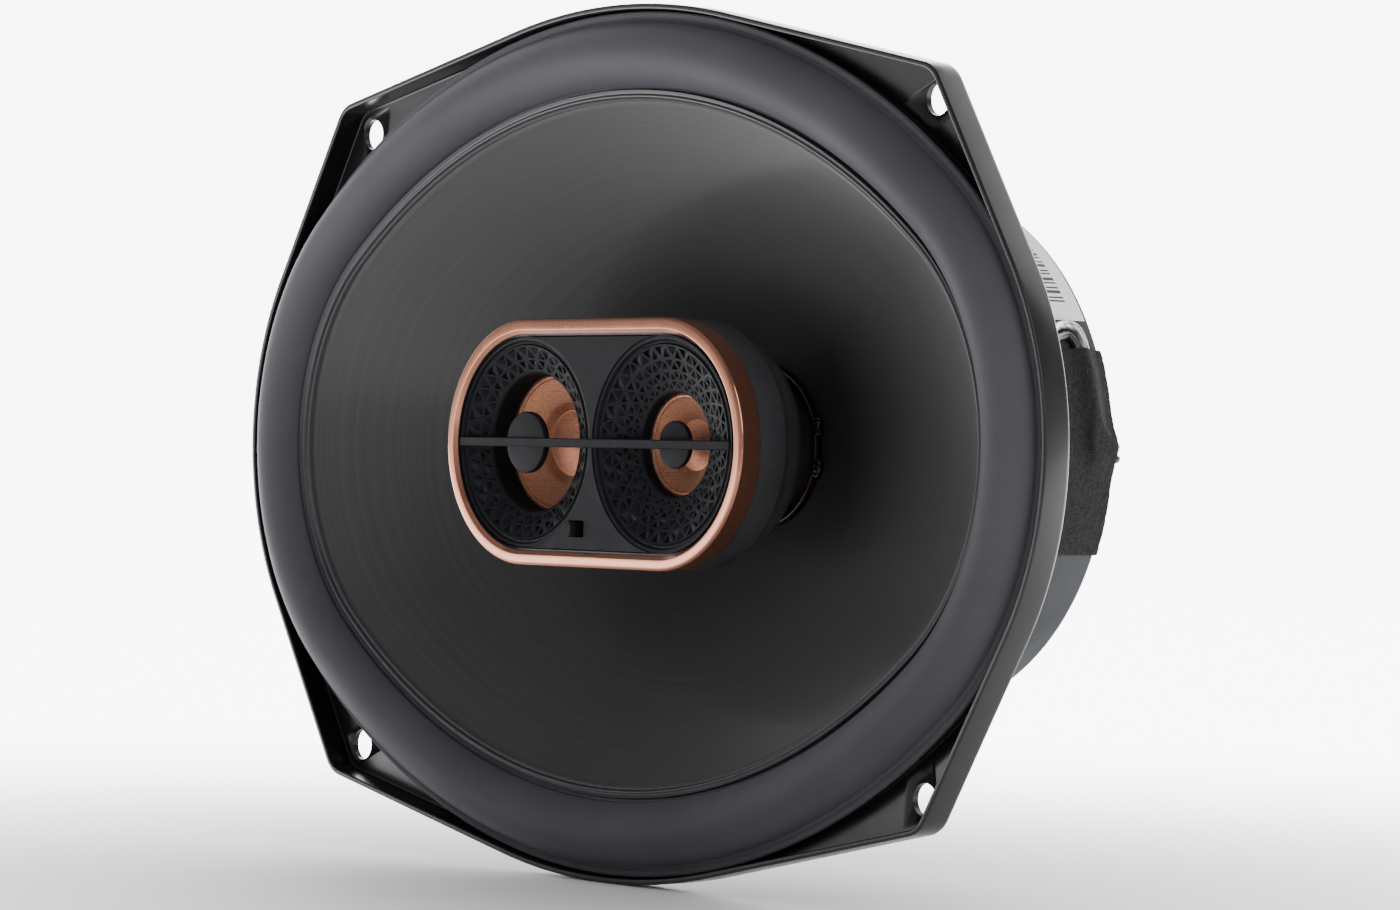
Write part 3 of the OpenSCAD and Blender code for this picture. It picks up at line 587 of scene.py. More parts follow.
def woven(f, pitch_mm, depth_mm, strength=0.8):
    """Plain weave: two sets of threads at right angles across the axis."""
    both = f.math("MULTIPLY", *(f.wave(bands, pitch_mm, Distortion=0.6, Detail_Scale=1.0)
                                for bands in ("X", "Z")))
    f.relief(both, depth_mm, strength)
    return both


@finish("spider_cloth")
def spider_cloth(f):
    threads = woven(f, 0.7, 0.12)
    f.colour(f.mix(f.spread(threads, 0, 1, 0, 0.8), (0.30, 0.20, 0.07), (0.52, 0.38, 0.16)))
    f.rough((0.4, 3), 0.5, 0.7)


@finish("tinsel")
def tinsel(f):
    braid = f.wave("DIAGONAL", 0.5)
    f.colour(f.mix(f.spread(braid, 0, 1, 0.1, 0.9), (0.30, 0.15, 0.07), (0.72, 0.48, 0.32)))
    f.relief(braid, 0.1, 0.9)
    f.rough((0.6, 2), 0.35, 0.5)
    f.set(Metallic=0.7)


@finish("plated_steel")
def plated_steel(f):
    grooves = f.math("SINE", f.math("MULTIPLY", f.radius(), 9.0))
    tinted(f, (0.46, 0.455, 0.43), 0.12, 0.05)
    f.rough((0.06, 5), 0.30, 0.46)
    f.relief(grooves, 0.01, 0.35)
    f.relief(f.noise(0.9, 3), 0.02, 0.4)
    f.set(Metallic=1.0)


@finish("copper_cloth")
def copper_cloth(f):
    threads = woven(f, 0.42, 0.05, 0.7)
    grain = f.noise(2.2, 4, 0.7)
    warm = f.mix(f.spread(grain, 0, 1, 0.35, 0.65), (0.27, 0.105, 0.058), (0.46, 0.19, 0.105))
    f.colour(f.mix(f.spread(threads, 0, 0.35, 0, 1), warm, (0.56, 0.28, 0.17)))
    f.rough((1.5, 3), 0.36, 0.52)
    f.set(Metallic=0.75, Sheen_Weight=0.2, Sheen_Roughness=0.4)


@finish("tinned_brass")
def tinned_brass(f):
    tinted(f, (0.72, 0.70, 0.62), 0.1, 0.3)
    f.rough((0.3, 4, 0.6, f.squeezed(1, 6)), 0.2, 0.36)
    f.relief(f.noise(1.0, 3, 0.6, f.squeezed(1, 8)), 0.02, 0.4)
    f.set(Metallic=1.0)


@finish("clear_wire")
def clear_wire(f):
    """Twisted strands seen through a clear jacket."""
    strands = f.spread(f.wave("DIAGONAL", 0.9), 0, 1, 0.2, 0.8)
    f.colour(f.mix(strands, (0.30, 0.29, 0.26), (0.66, 0.64, 0.58)))
    f.rough((0.4, 3), 0.3, 0.45)
    f.set(Metallic=0.4, Coat_Weight=1.0, Coat_Roughness=0.06)


@finish("black_felt")
def black_felt(f):
    fibre = f.noise(1.1, 6, 0.75)
    fine = f.noise(3.0, 4, 0.7, f.squeezed(0.6, 2.2))
    both = f.math("MULTIPLY", fibre, fine)
    f.colour(f.mix(f.spread(both, 0, 1, 0.15, 0.4), (0.008, 0.008, 0.0085), (0.040, 0.0395, 0.041)))
    f.relief(both, 0.6, 1.0)
    f.set(Roughness=0.95, Specular_IOR_Level=0.15, Sheen_Weight=0.06, Sheen_Roughness=0.5)


for part in frame["record"]["subparts"]:
    cad = NODES[part["node"]]
    cad.data.materials.clear()
    cad.data.materials.append(FINISHES[part["material_slot"]][0])

# ---- What several pieces share ----


def cut(piece, cutters):
    """Cuts (points, faces) solids out of a piece and keeps the result as its mesh."""
    mesh = bpy.data.meshes.new("cutter")
    mesh.from_pydata([place(*p) for p in cutters[0]], [], cutters[1])
    tool = bpy.data.objects.new("cutter", mesh)
    bpy.context.scene.collection.objects.link(tool)
    modifier = piece.modifiers.new("cut", "BOOLEAN")
    modifier.object = tool
    modifier.solver = "EXACT"
    result = bpy.data.meshes.new_from_object(piece.evaluated_get(bpy.context.evaluated_depsgraph_get()))
    piece.modifiers.clear()
    piece.data = result
    bpy.data.objects.remove(tool)


def radial_blend(piece):
    """Bakes the piece's placement into its mesh."""
    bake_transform(piece)


def ease(value, low, high):
    """0 up to low, 1 from high, and smooth between."""
    t = min(1.0, max(0.0, (value - low) / (high - low)))
    return t * t * (3 - 2 * t)


# ---- Basket ----

ARM_NORMALS = (0, 62, 90, 118, 180, 242, 270, 298)
ARM_W = 19.0
CAN_BORE_R = 19.5


def arm(normal):
    """A pressed strip from the hem to the ledge, with turned-back edges and a shallow bead."""
    start = oval_at(math.radians(normal), HEM_IN + 1)
    top_r, turn = math.hypot(*start), math.atan2(start[1], start[0])
    hem_rear, thick = HEM_Z - SHEET, 1.1
    bends = rounded([(top_r + 2.4, hem_rear + 0.15), (top_r - 1.5, hem_rear + 0.05),
                     (LEDGE_R - 0.2, LEDGE_Z - 0.1), (LEDGE_R - 4, LEDGE_Z - 0.4)], 5.0, 8, closed=False)
    path = smooth_path([(*p, 0) for p in bends], 3)
    loops = []
    for i, p in enumerate(path):
        t = i / (len(path) - 1)
        tangent = direction(path, i)
        rear = Vector((-tangent.y, tangent.x, 0))
        if rear.y > 0:
            rear = -rear
        half = ARM_W / 2 + 2.6 * (1 - ease(t, 0, 0.22)) + 1.6 * ease(t, 0.8, 1)
        rib = 1.5 + 2.3 * ease(t, 0.02, 0.25) * (1 - ease(t, 0.8, 0.98))
        bead = 0.9 * ease(t, 0.15, 0.3) * (1 - ease(t, 0.75, 0.9))
        front = [(-half, rib), (-half, 0.9), (-half + 0.3, 0.3), (-half + 0.9, 0), (-4.2, 0),
                 (-3.0, bead)]
        back = [(half - thick, rib), (half - thick, 1.6), (half - 1.6, thick), (4.0, thick),
                (2.8, thick + bead)]
        loop = []
        for across, depth in mirrored(front) + mirrored(back):
            r, out = p.x + rear.x * depth, p.y + rear.y * depth
            loop.append((r * math.cos(turn) - across * math.sin(turn),
                         r * math.sin(turn) + across * math.cos(turn), out))
        loops.append(loop)
    return capped(loops)


def basket():
    """Pressed steel: flange with ears and turned-up rim, landing, short wall, hem, arms, ledge, can."""
    outer = rounded([(2.5, 0), (0, 0), (0, RIM_TOP), (RIM_T, RIM_TOP), (RIM_T, SHEET), (1.9, SHEET)],
                    [0, 1.5, 0.4, 0.35, 0.6, 0], 5, closed=False)
    hem_end, hem_rear, wall, step = HEM_IN + HEM_W, HEM_Z - SHEET, WALL_IN + SHEET, LANDING_IN + SHEET
    inner = rounded([(2.0, SHEET), (LANDING_IN, SHEET), (LANDING_IN, LANDING_Z), (wall, LANDING_Z),
                     (wall, HEM_Z), (hem_end, HEM_Z), (hem_end, hem_rear), (WALL_IN, hem_rear),
                     (WALL_IN, LANDING_Z - SHEET), (step, LANDING_Z - SHEET), (step, 0), (3.0, 0)],
                    [0, 0.3, 0.5, 0.6, 0.8, 0.3, 0.3, 1.4, 0.4, 0.4, 0.5, 0], 4, closed=False)
    ring = loft([at(flange(i), z) for i, z in outer] + [at(flange_oval(i), z) for i, z in inner])
    can = lathe(rounded([(LEDGE_R, LEDGE_Z), (CAN_R - SHEET, LEDGE_Z), (CAN_R - SHEET, PLATE_Z + SHEET),
                         (CAN_BORE_R, PLATE_Z + SHEET), (CAN_BORE_R, PLATE_Z), (CAN_R, PLATE_Z),
                         (CAN_R, LEDGE_Z - SHEET), (LEDGE_R, LEDGE_Z - SHEET)],
                        [0.3, 1.8, 0.8, 0.2, 0.2, 1.6, 0.8, 0.3]), count=144)
    piece = build("basket_shell", *ring, "black_steel", replaces=("basket",))
    cut(piece, merge(*(
        capped(turned([(HOLE_R, -1), (HOLE_R, SHEET + 1)], sx * HOLE_X, sy * HOLE_UP, 48))
        for sx in (-1, 1) for sy in (-1, 1))))
    build("basket_arms", *merge(can, *(arm(a) for a in ARM_NORMALS)), "black_steel", sharp=50)


basket()

# ---- Cone and suspension ----


def surround():
    """Half roll of rubber, from the basket to the cone."""
    steps, foot = 30, math.asin(RUBBER_T / ROLL_R)
    inner_r = ROLL_R - RUBBER_T
    profile = [(1.4, LANDING_Z), (1.4, FOOT_Z - 0.25), (1.65, FOOT_Z), (2.5, FOOT_Z),
               (2.75, FOOT_Z - 0.2), (3.05, FOOT_Z - 0.1)]
    for i in range(steps + 1):
        a = math.pi - foot - (math.pi - 2 * foot) * i / steps
        profile.append((ROLL_MID_IN + ROLL_R * math.cos(a), LANDING_Z + ROLL_R * math.sin(a)))
    profile += [(ROLL_FOOT_IN + 0.35, FOOT_Z - 0.05), (CONE_IN - 0.25, FOOT_Z), (CONE_IN, FOOT_Z - 0.2),
                (CONE_IN, LANDING_Z)]
    profile += [(ROLL_MID_IN + inner_r * math.cos(a), LANDING_Z + inner_r * math.sin(a))
                for a in (math.pi * i / steps for i in range(steps + 1))]
    piece = build("surround_roll", *oval_sweep(profile), "surround_rubber", None, ("surround",))
    radial_blend(piece)


def edge_ring():
    """Thin double ridge where the roll meets the cone."""
    shape = ((0.4, -0.1), (0.5, 0.5), (0.7, 0.85), (0.95, 0.7), (1.2, 0.3), (1.45, 0.35), (1.7, 0.6),
             (1.95, 0.5), (2.2, 0), (2.2, -0.1))
    profile = [(ROLL_FOOT_IN + across, FOOT_Z + lift) for across, lift in shape]
    build("ridge_ring", *oval_sweep(profile), "edge_ring", "woofer", ("cone_edge_ring",), sharp=70)


def cone_drop(share):
    """How far the cone's front lies behind its edge, at a share of the way to the neck."""
    return (CONE_EDGE_Z - NECK_Z) * (0.86 * share + 0.14 * share**2)


def cone():
    rows = 56
    edge = oval(CONE_IN)
    neck = [(NECK_R * c, NECK_R * s) for c, s in circle(OVAL_COUNT)]
    shares = [i / rows for i in range(rows + 1)]
    front = [[(ex + (nx - ex) * share, eu + (nu - eu) * share, CONE_EDGE_Z - cone_drop(share))
              for (ex, eu), (nx, nu) in zip(edge, neck)] for share in shares]
    rim = at(oval(ROLL_FOOT_IN), CONE_EDGE_Z)
    outside = NECK_R + PAPER_T
    collar = turned([(NECK_R, NECK_LOW), (outside, NECK_LOW), (outside, NECK_Z - PAPER_T)],
                    count=OVAL_COUNT)
    back = [[(x, up, out - PAPER_T) for x, up, out in loop] for loop in [rim, *front[:-2]]]
    marks = [0.0, *shares, 1.0, 1.0, 1.0, *shares[-3::-1], 0.0]
    build("cone_skin", *loft([rim, *front, *collar, *reversed(back)]), "cone_paper", "woofer", ("cone",),
          marks={"cone_share": [mark for mark in marks for _ in range(OVAL_COUNT)]})


def blob(x, up, out, radii, seed, count=20):
    """A lump of glue, as (points, faces)."""
    rng = random.Random(seed)
    bumps = [(rng.uniform(2, 5), rng.uniform(0, math.tau), rng.uniform(0.04, 0.12)) for _ in range(4)]
    loops = []
    for i in range(1, count):
        tilt = math.pi * i / count
        loop = []
        for k in range(count):
            a = math.tau * k / count
            swell = 1 + sum(size * math.sin(f * a + shift + tilt) for f, shift, size in bumps)
            ring = math.sin(tilt) * swell
            loop.append((x + radii[0] * ring * math.cos(a), up + radii[1] * ring * math.sin(a),
                         out + radii[2] * math.cos(tilt)))
        loops.append(loop)
    return capped(loops)


def neck_glue():
    """Two dabs of glue, where the leads pass the neck."""
    lumps = []
    for i, angle in enumerate((-14, 14)):
        a = math.radians(angle)
        for j in range(3):
            b = a + math.radians(3.4 * (j - 1))
            r = FORMER_R + 1.2 + 0.5 * (j % 2)
            lumps.append(blob(r * math.cos(b), r * math.sin(b), NECK_Z + 1.5 + 0.4 * (j % 2),
                              (1.0, 1.0, 0.9), 10 * i + j))
    build("neck_glue_dabs", *merge(*lumps), "black_glue", "woofer", ("neck_glue",))


def spider():
    """Corrugated disc of cloth, from the basket's ledge to the former."""
    middle, r0, r1, waves, thick = LEDGE_Z + 2.2, FORMER_R + 1.2, LEDGE_R - 8, 5, 0.5
    steps = waves * 16
    wave = [(r0 + (r1 - r0) * i / steps, middle + 1.3 * math.sin(math.tau * waves * i / steps))
            for i in range(steps + 1)]
    edge_r, count = 41.0, 144
    profile = [(FORMER_R, middle - 1.4), (FORMER_R, middle + thick)]
    profile += [(r, z + thick) for r, z in wave]
    profile += [(r1 + 0.8, LEDGE_Z + thick), (edge_r, LEDGE_Z + thick), (edge_r, LEDGE_Z),
                (r1 + 0.2, LEDGE_Z), *wave[::-1], (FORMER_R + thick, middle - 1.4)]
    piece = build("spider_cloth_disc", *lathe(profile, count=count), "spider_cloth", None,
                  ("spider",), sharp=60)
    radial_blend(piece)


ARM_TOP_R = HALF_W - HEM_IN - 1
ARM_FOOT_R, ARM_FOOT_Z = LEDGE_R - 1, LEDGE_Z - 0.1
ARM_SLOPE = (HEM_Z - 0.2 - ARM_FOOT_Z) / (ARM_TOP_R - ARM_FOOT_R)


def arm_height(x):
    """Height of the front face of the arm that points to +x, at x."""
    return ARM_FOOT_Z + (x - ARM_FOOT_R) * ARM_SLOPE


TERMINAL_X = 74.0


def tinsel_lead(name, side):
    """Braided lead from the back of the cone to the terminal board."""
    start_x, edge_x = FORMER_R + 8, HALF_W - CONE_IN
    share = (edge_x - start_x) / (edge_x - NECK_R)
    start_z = CONE_EDGE_Z - cone_drop(share) - PAPER_T - 1.2
    arm_x = TERMINAL_X - 9
    arm_z = arm_height(arm_x)
    path = smooth_path([(start_x, side * 5, start_z), (start_x + 3, side * 5.5, start_z - 1.8),
                        (start_x + 8, side * 6, start_z - 3.2), (start_x + 13, side * 6, start_z - 1.4),
                        (arm_x - 2, side * 6, arm_z + 4.5), (arm_x, side * 6, arm_z + 0.7)], 14)
    twist = tube_along(path, 0.5, 10, lambda i, a: 0.16 * math.sin(2 * a + i * 0.9))
    piece = build(name + "_braid", *twist, "tinsel", None, (name,), sharp=80)
    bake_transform(piece)


surround()
edge_ring()
cone()
neck_glue()
spider()
tinsel_lead("tinsel_lead_positive", 1)
tinsel_lead("tinsel_lead_negative", -1)

# ---- Motor ----


def motor():
    """Plates and magnet as turned or pressed rings with broken edges."""
    for name, node, bore, radius, rear, front, edge, look in (
            ("magnet_ring", "magnet", 26, MAGNET_R, BACK_Z, MAGNET_FRONT, 0.9, "ferrite"),
            ("front_plate", "top_plate", 16.5, PLATE_R, MAGNET_FRONT, PLATE_Z, 0.6, "plated_steel")):
        ring = rounded([(bore, rear), (radius, rear), (radius, front), (bore, front)], edge)
        build(name, *lathe(ring, count=192), look, "frame", (node,))
    pole_r, pole_top, bore, dent = 14.5, PLATE_Z + 1, 5.0, REAR_Z + 0.35
    yoke = rounded([(bore, REAR_Z), (12, REAR_Z), (12.4, dent), (36.2, dent), (36.6, REAR_Z),
                    (BACK_PLATE_R, REAR_Z), (BACK_PLATE_R, BACK_Z), (pole_r, BACK_Z), (pole_r, pole_top),
                    (bore, pole_top)], [0.5, 0.1, 0.1, 0.1, 0.1, 0.9, 0.5, 0.3, 0.5, 0.3])
    build("back_plate_and_pole", *lathe(yoke, count=192), "plated_steel", "frame", ("pole_yoke",))


motor()

# ---- Pod ----


def trim_ring():
    """Polished ring with a rounded outer edge and a bevel down to the face."""
    inner = FACE_IN - 0.3
    profile = rounded([(0, TRIM_BACK), (0, POD_FRONT), (inner - 0.75, POD_FRONT),
                       (inner, POD_FRONT - 0.6), (inner, POD_FRONT - 1.2), (1.6, POD_FRONT - 1.2),
                       (1.6, TRIM_BACK)],
                      [0.3, 0.9, 0.25, 0.15, 0.1, 0, 0], 8)
    build("trim_ring", *loft([at(slot_outline(POD_W, POD_H, i, 64), z) for i, z in profile]),
          "copper_trim", "frame", ("pod_trim_ring",))


def pod_housing():
    """Rear shell: straight sides, then a bowl that narrows to the round post."""
    wall, back = 1.6, POD_WALL_END
    outside = [(POD_W, POD_H, inset, z) for inset, z in (
        (1.7, POD_FRONT - 1.3), (1.7, TRIM_BACK), (0.3, TRIM_BACK), (0.3, back + 1.2), (0.7, back + 0.3),
        (1.6, back - 0.4))]
    mid_w, mid_h, foot_r = POD_W - 12.7, POD_H - 8, 11.5
    for i in range(1, 9):
        t = math.radians(90 * i / 8)
        outside.append((POD_W - (POD_W - mid_w) * (1 - math.cos(t)) ** 0.9,
                        POD_H - (POD_H - mid_h) * (1 - math.cos(t)) ** 0.9,
                        1.6 * math.cos(t) + 0.3, back - 0.4 - 10.1 * math.sin(t)))
    outside += [(foot_r + 0.1, foot_r, 0.3, POD_BASE_Z + 0.4),
                (foot_r - 0.3, foot_r - 0.4, 0.3, POD_BASE_Z)]
    inside = [(w, h, inset + wall, out + wall * 0.6) for w, h, inset, out in outside[5:-1]]
    bore = [(3.5, 3.4, 0, POD_BASE_Z), (3.5, 3.4, 0, POD_BASE_Z + wall)]
    inside_front = [(POD_W, POD_H, FACE_IN, back), (POD_W, POD_H, FACE_IN, POD_FRONT - 1.3)]
    rows = outside + bore + inside[::-1] + inside_front
    build("pod_shell", *loft([at(slot_outline(w, h, i, 48), z) for w, h, i, z in rows]),
          "black_plastic", "frame", ("pod_housing",), sharp=35)


POCKETS = 32


def pocket_depth(r, angle, r_low, rings, table):
    """Depth of the staggered triangular pockets in a dish. They keep their shape and shrink inward."""
    cells, depth, ridge, slope = POCKETS, 0.75, 0.26, 0.12
    ring_u = math.log(DISH_TOP_R / r_low) / rings
    u = math.log(max(r, r_low) / r_low) / ring_u
    ring = int(u)
    if r <= r_low or ring >= rings:
        return 0.0
    v = (angle / math.tau * cells + 0.5 * (ring % 2)) % cells
    width, height = r * math.tau / cells, r * ring_u
    y = (u - ring) * height
    cell, x = int(v), (v % 1 - 0.5) * width
    kind = 0
    if abs(x) > (width / 2) * (1 - y / height):
        kind, y = 1, height - y
        cell = int(v + 0.5) % cells
        x -= math.copysign(width / 2, x)
    long_side = math.hypot(height, width / 2)
    sides = (y, ((x + width / 2) * height - y * width / 2) / long_side,
             ((width / 2 - x) * height - y * width / 2) / long_side)
    room = min(sides) - ridge
    if room <= 0:
        return 0.0
    shallow, size = table[(ring * 2 + kind) * cells + cell]
    tilt = min(1.0, max(0.0, (sides[shallow] - ridge) / (0.62 * height)))
    return depth * size * tilt * min(1.0, room / slope)


DISH_TOP_R = DISH_R - 1.7


def dish(x, opening_r, rim_z, seat_z, rings, seed):
    """Ring-shaped plate round an opening: textured slope, ring groove, and a wall down to the driver."""
    rng = random.Random(seed)
    table = [(rng.choice((0, 1, 1, 2, 2)), rng.uniform(0.75, 1.0)) for _ in range(2 * POCKETS * rings)]
    count, r_low, top = 900, opening_r + 0.55, FACE_Z - 0.5
    steps = int((DISH_TOP_R - r_low) / 0.1)
    radii = [opening_r + 0.3] + [r_low + (DISH_TOP_R - r_low) * i / steps for i in range(steps + 1)]
    rise = (top - rim_z) / (DISH_TOP_R + 0.1 - opening_r)
    groove = ((1.6, 0.5), (1.45, 0.75), (1.3, 0.85), (0.95, 0.85), (0.8, 0.7), (0.65, 0.35), (0.5, 0.3),
              (0, 0.3))
    outer = [(DISH_R - inset, FACE_Z - drop) for inset, drop in groove] + [(DISH_R, FACE_BACK_Z + 0.5)]
    inner = [(opening_r + 1.8, FACE_BACK_Z + 0.5), (opening_r + 1.8, seat_z), (opening_r, seat_z),
             (opening_r, rim_z - 0.15), (opening_r + 0.12, rim_z)]
    angles = [math.tau * k / count for k in range(count)]
    loops = []
    for r in radii:
        base = rim_z + (r - opening_r) * rise
        loops.append([(x + r * c, r * s, base - pocket_depth(r, a, r_low, rings, table))
                      for a, (c, s) in zip(angles, circle(count))])
    return loft(loops + turned(outer + inner, x, 0, count))


def fill_between(outlines, out):
    """Points and triangles of a flat face with holes, at one height."""
    edit = bmesh.new()
    edges = []
    for outline in outlines:
        corners = [edit.verts.new((px, py, 0)) for px, py in outline]
        edges += [edit.edges.new((corners[i - 1], corners[i])) for i in range(len(corners))]
    bmesh.ops.triangle_fill(edit, use_beauty=True, edges=edges)
    edit.verts.index_update()
    points = [(v.co.x, v.co.y, out) for v in edit.verts]
    faces = [tuple(v.index for v in face.verts) for face in edit.faces]
    edit.free()
    return points, faces


SWITCH_X, SWITCH_UP, LEVER_TRAVEL = -3.9, -16.0, 2.4


def pod_face():
    """Flat plate with two dishes and the recess of the level switch."""
    bevel, seam, low, sharp = 0.3, 0.12, FACE_BACK_Z, 28
    dishes, dish_rims = ([[(x + r * c, r * s) for c, s in circle(180)] for x in (MID_X, TWEETER_X)]
                         for r in (DISH_R + bevel * 0.5, DISH_R))
    half_w, half_up = LEVER_TRAVEL / 2 + 1.1, 1.55
    slit = rounded(rectangle(SWITCH_X - half_w, SWITCH_X + half_w, SWITCH_UP - half_up,
                             SWITCH_UP + half_up), 0.3)
    outline_top = slot_outline(POD_W, POD_H, FACE_IN + bevel, 64)
    outline = slot_outline(POD_W, POD_H, FACE_IN + seam, 64)
    parts = [fill_between([outline_top, *dishes, slit], FACE_Z),
             fill_between([outline, *dish_rims, slit], low),
             loft([at(outline_top, FACE_Z), at(outline, FACE_Z - bevel), at(outline, low)], False),
             loft([at(slit, FACE_Z), at(slit, low)], False)]
    for chamfer, rim in zip(dishes, dish_rims):
        parts.append(loft([at(chamfer, FACE_Z), at(rim, FACE_Z - bevel * 0.5), at(rim, low)], False))
    parts.append(dish(MID_X, MID_R, MID_RIM_Z, MID_SEAT_Z, 2, 5))
    parts.append(dish(TWEETER_X, TWEETER_R, TWEETER_RIM_Z, TWEETER_SEAT_Z + 0.02, 4, 8))
    piece = build("face_plate", *merge(*parts), "face_plastic", "frame", ("pod_face",), sharp=sharp)
    reshade(piece.data, sharp, weld=1e-6)


def switch_lever():
    """Ribbed nub of the level switch."""
    x, half_w, half_up, foot = SWITCH_X - LEVER_TRAVEL / 2, 0.9, 1.4, FACE_BACK_Z + 2.2
    parts = [block(x - half_w, x + half_w, SWITCH_UP + up0, SWITCH_UP + half_up, out0, out1, edge)
             for up0, out0, out1, edge in ((-half_up, foot, FACE_Z + 0.5, 0.15),
                                           (-half_up, FACE_Z + 0.5, FACE_Z + 1.0, 0.25),
                                           (0.8, FACE_Z + 0.9, FACE_Z + 1.3, 0.15))]
    build("lever_nub", *merge(*parts), "face_plastic", "level_switch", ("switch_lever",), sharp=30)


def phase_bar():
    """Thin bar across both dishes, with a disc in front of each driver."""
    half, top = (2 * TWEETER_X + 2 * DISH_R - 1) / 2, FACE_Z + 0.2
    bar = block(-half, half, -BAR_T / 2, BAR_T / 2, top - 2.6, top, 0.18)
    parts = [bar]
    for x, r, low, high, edge in ((MID_X, 5.8, FACE_Z - 1.9, FACE_Z - 0.6, 0.35),
                                  (TWEETER_X, 4.4, TWEETER_RIM_Z - 0.6, TWEETER_RIM_Z + 0.4, 0.3)):
        disc = rounded([(0.01, low), (r, low), (r, high), (0.01, high + 0.1)], [0, 0.2, edge, 0], 5,
                       closed=False)
        parts.append(capped(turned(disc, x)))
    parts.append(block(TWEETER_X - 1.5, TWEETER_X + 1.5, -BAR_T / 2 + 0.1, BAR_T / 2 - 0.1,
                       TWEETER_RIM_Z, top - 0.4))
    build("bar_with_discs", *merge(*parts), "face_plastic", "frame", ("phase_bar",), sharp=35)


def driver(prefix, x, r, seat, coil_r, deep, frame_r, body):
    """Small copper cone with its dome, and the thin roll between it and the pod."""
    skin, count = 0.3, 96
    front = rounded([(r - 1.0, seat), (coil_r + 1.6, seat - 0.62 * deep), (coil_r + 0.35, seat - deep),
                     (coil_r - 1.7, seat - deep + 0.45), (0.02, seat - deep + 1.0)],
                    [0, 2.5, 0.3, 1.2, 0], 6, closed=False)
    back = [(max(pr - 0.05, 0.02), z - skin) for pr, z in reversed(front)]
    build(prefix + "_diaphragm", *lathe(front + back, x, 0, count), "copper_cloth", body,
          (prefix + "_cone",), sharp=60)
    roll = [(r - 1.05, seat), (r - 0.85, seat + 0.28), (r - 0.5, seat + 0.42), (r - 0.2, seat + 0.28),
            (r - 0.05, seat + 0.05), (frame_r, seat + 0.05), (frame_r, seat - 0.3),
            (r - 0.1, seat - 0.3), (r - 0.5, seat + 0.1), (r - 0.9, seat - 0.25)]
    piece = build(prefix + "_roll", *lathe(roll, x, 0, count), "copper_cloth", None,
                  (prefix + "_surround",), sharp=60)
    radial_blend(piece)


trim_ring()
pod_housing()
pod_face()
phase_bar()
switch_lever()
driver("mid", MID_X, MID_R, MID_SEAT_Z - 0.4, 5.9, 4.0, 15.6, "midrange")
driver("tweeter", TWEETER_X, TWEETER_R, TWEETER_SEAT_Z - 0.4, 4.4, 2.8, 12.0, "tweeter")

# ---- Wires, felt and label ----

WIRE_LIFT = MAGNET_R + WIRE_R + 0.25
FELT_HALF_A = 22.0


def on_magnet(up, out):
    """Where a wire lies on the magnet's side."""
    return math.sqrt(WIRE_LIFT**2 - up**2), up, out


def jumper_wire(name, shift, side, look):
    """From the terminals over the magnet's edge, under the felt, round to the rear, into the bolt."""
    under, run, y = BACK_Z + 4.6 + shift, REAR_Z - WIRE_R - 0.1, side * 1.1
    head = run - 3.0
    board_z = POD_WALL_END - 10.5 - 1.4
    knots = [(TERMINAL_X - 7, side * 4, arm_height(TERMINAL_X - 7) - 5),
             (TERMINAL_X - 11, 9 + side * 2, arm_height(TERMINAL_X - 11) - 9),
             (57, 18 + side, MAGNET_FRONT + 3), (50.5, 21.4 + side, MAGNET_FRONT - 3)]
    knots += [on_magnet(up, out) for up, out in (
        (23 + side, BACK_Z + 9), (22.6 + side, under + 0.8), (20 + side * 0.5, under), (15, under),
        (8, under), (2.5 + side, under - 0.4), (0.4 + side, under - 2.6))]
    knots += [(x, y, out) for x, out in (
        (WIRE_LIFT, BACK_Z + 0.6), (MAGNET_R + 0.9, BACK_Z - 0.6), (MAGNET_R - 0.2, BACK_Z - 1.15),
        (BACK_PLATE_R + 3.4, BACK_Z - 1.3), (BACK_PLATE_R + 1.5, BACK_Z - 2.6),
        (BACK_PLATE_R + 1.1, REAR_Z + 0.6), (BACK_PLATE_R + 0.3, run - 0.2),
        (BACK_PLATE_R - 3, run - 0.1), (BACK_PLATE_R - 9, run), (26, run), (14, run - 0.3),
        (9.5, head), (5, head - 0.9), (1.8, head + 0.6), (0, REAR_Z + 6), (0, REAR_Z + 20), (0, -30),
        (0, board_z - 0.2))]
    build(name + "_jacket", *tube_along(smooth_path(knots, 8), WIRE_R), look, "frame", (name,), sharp=80)


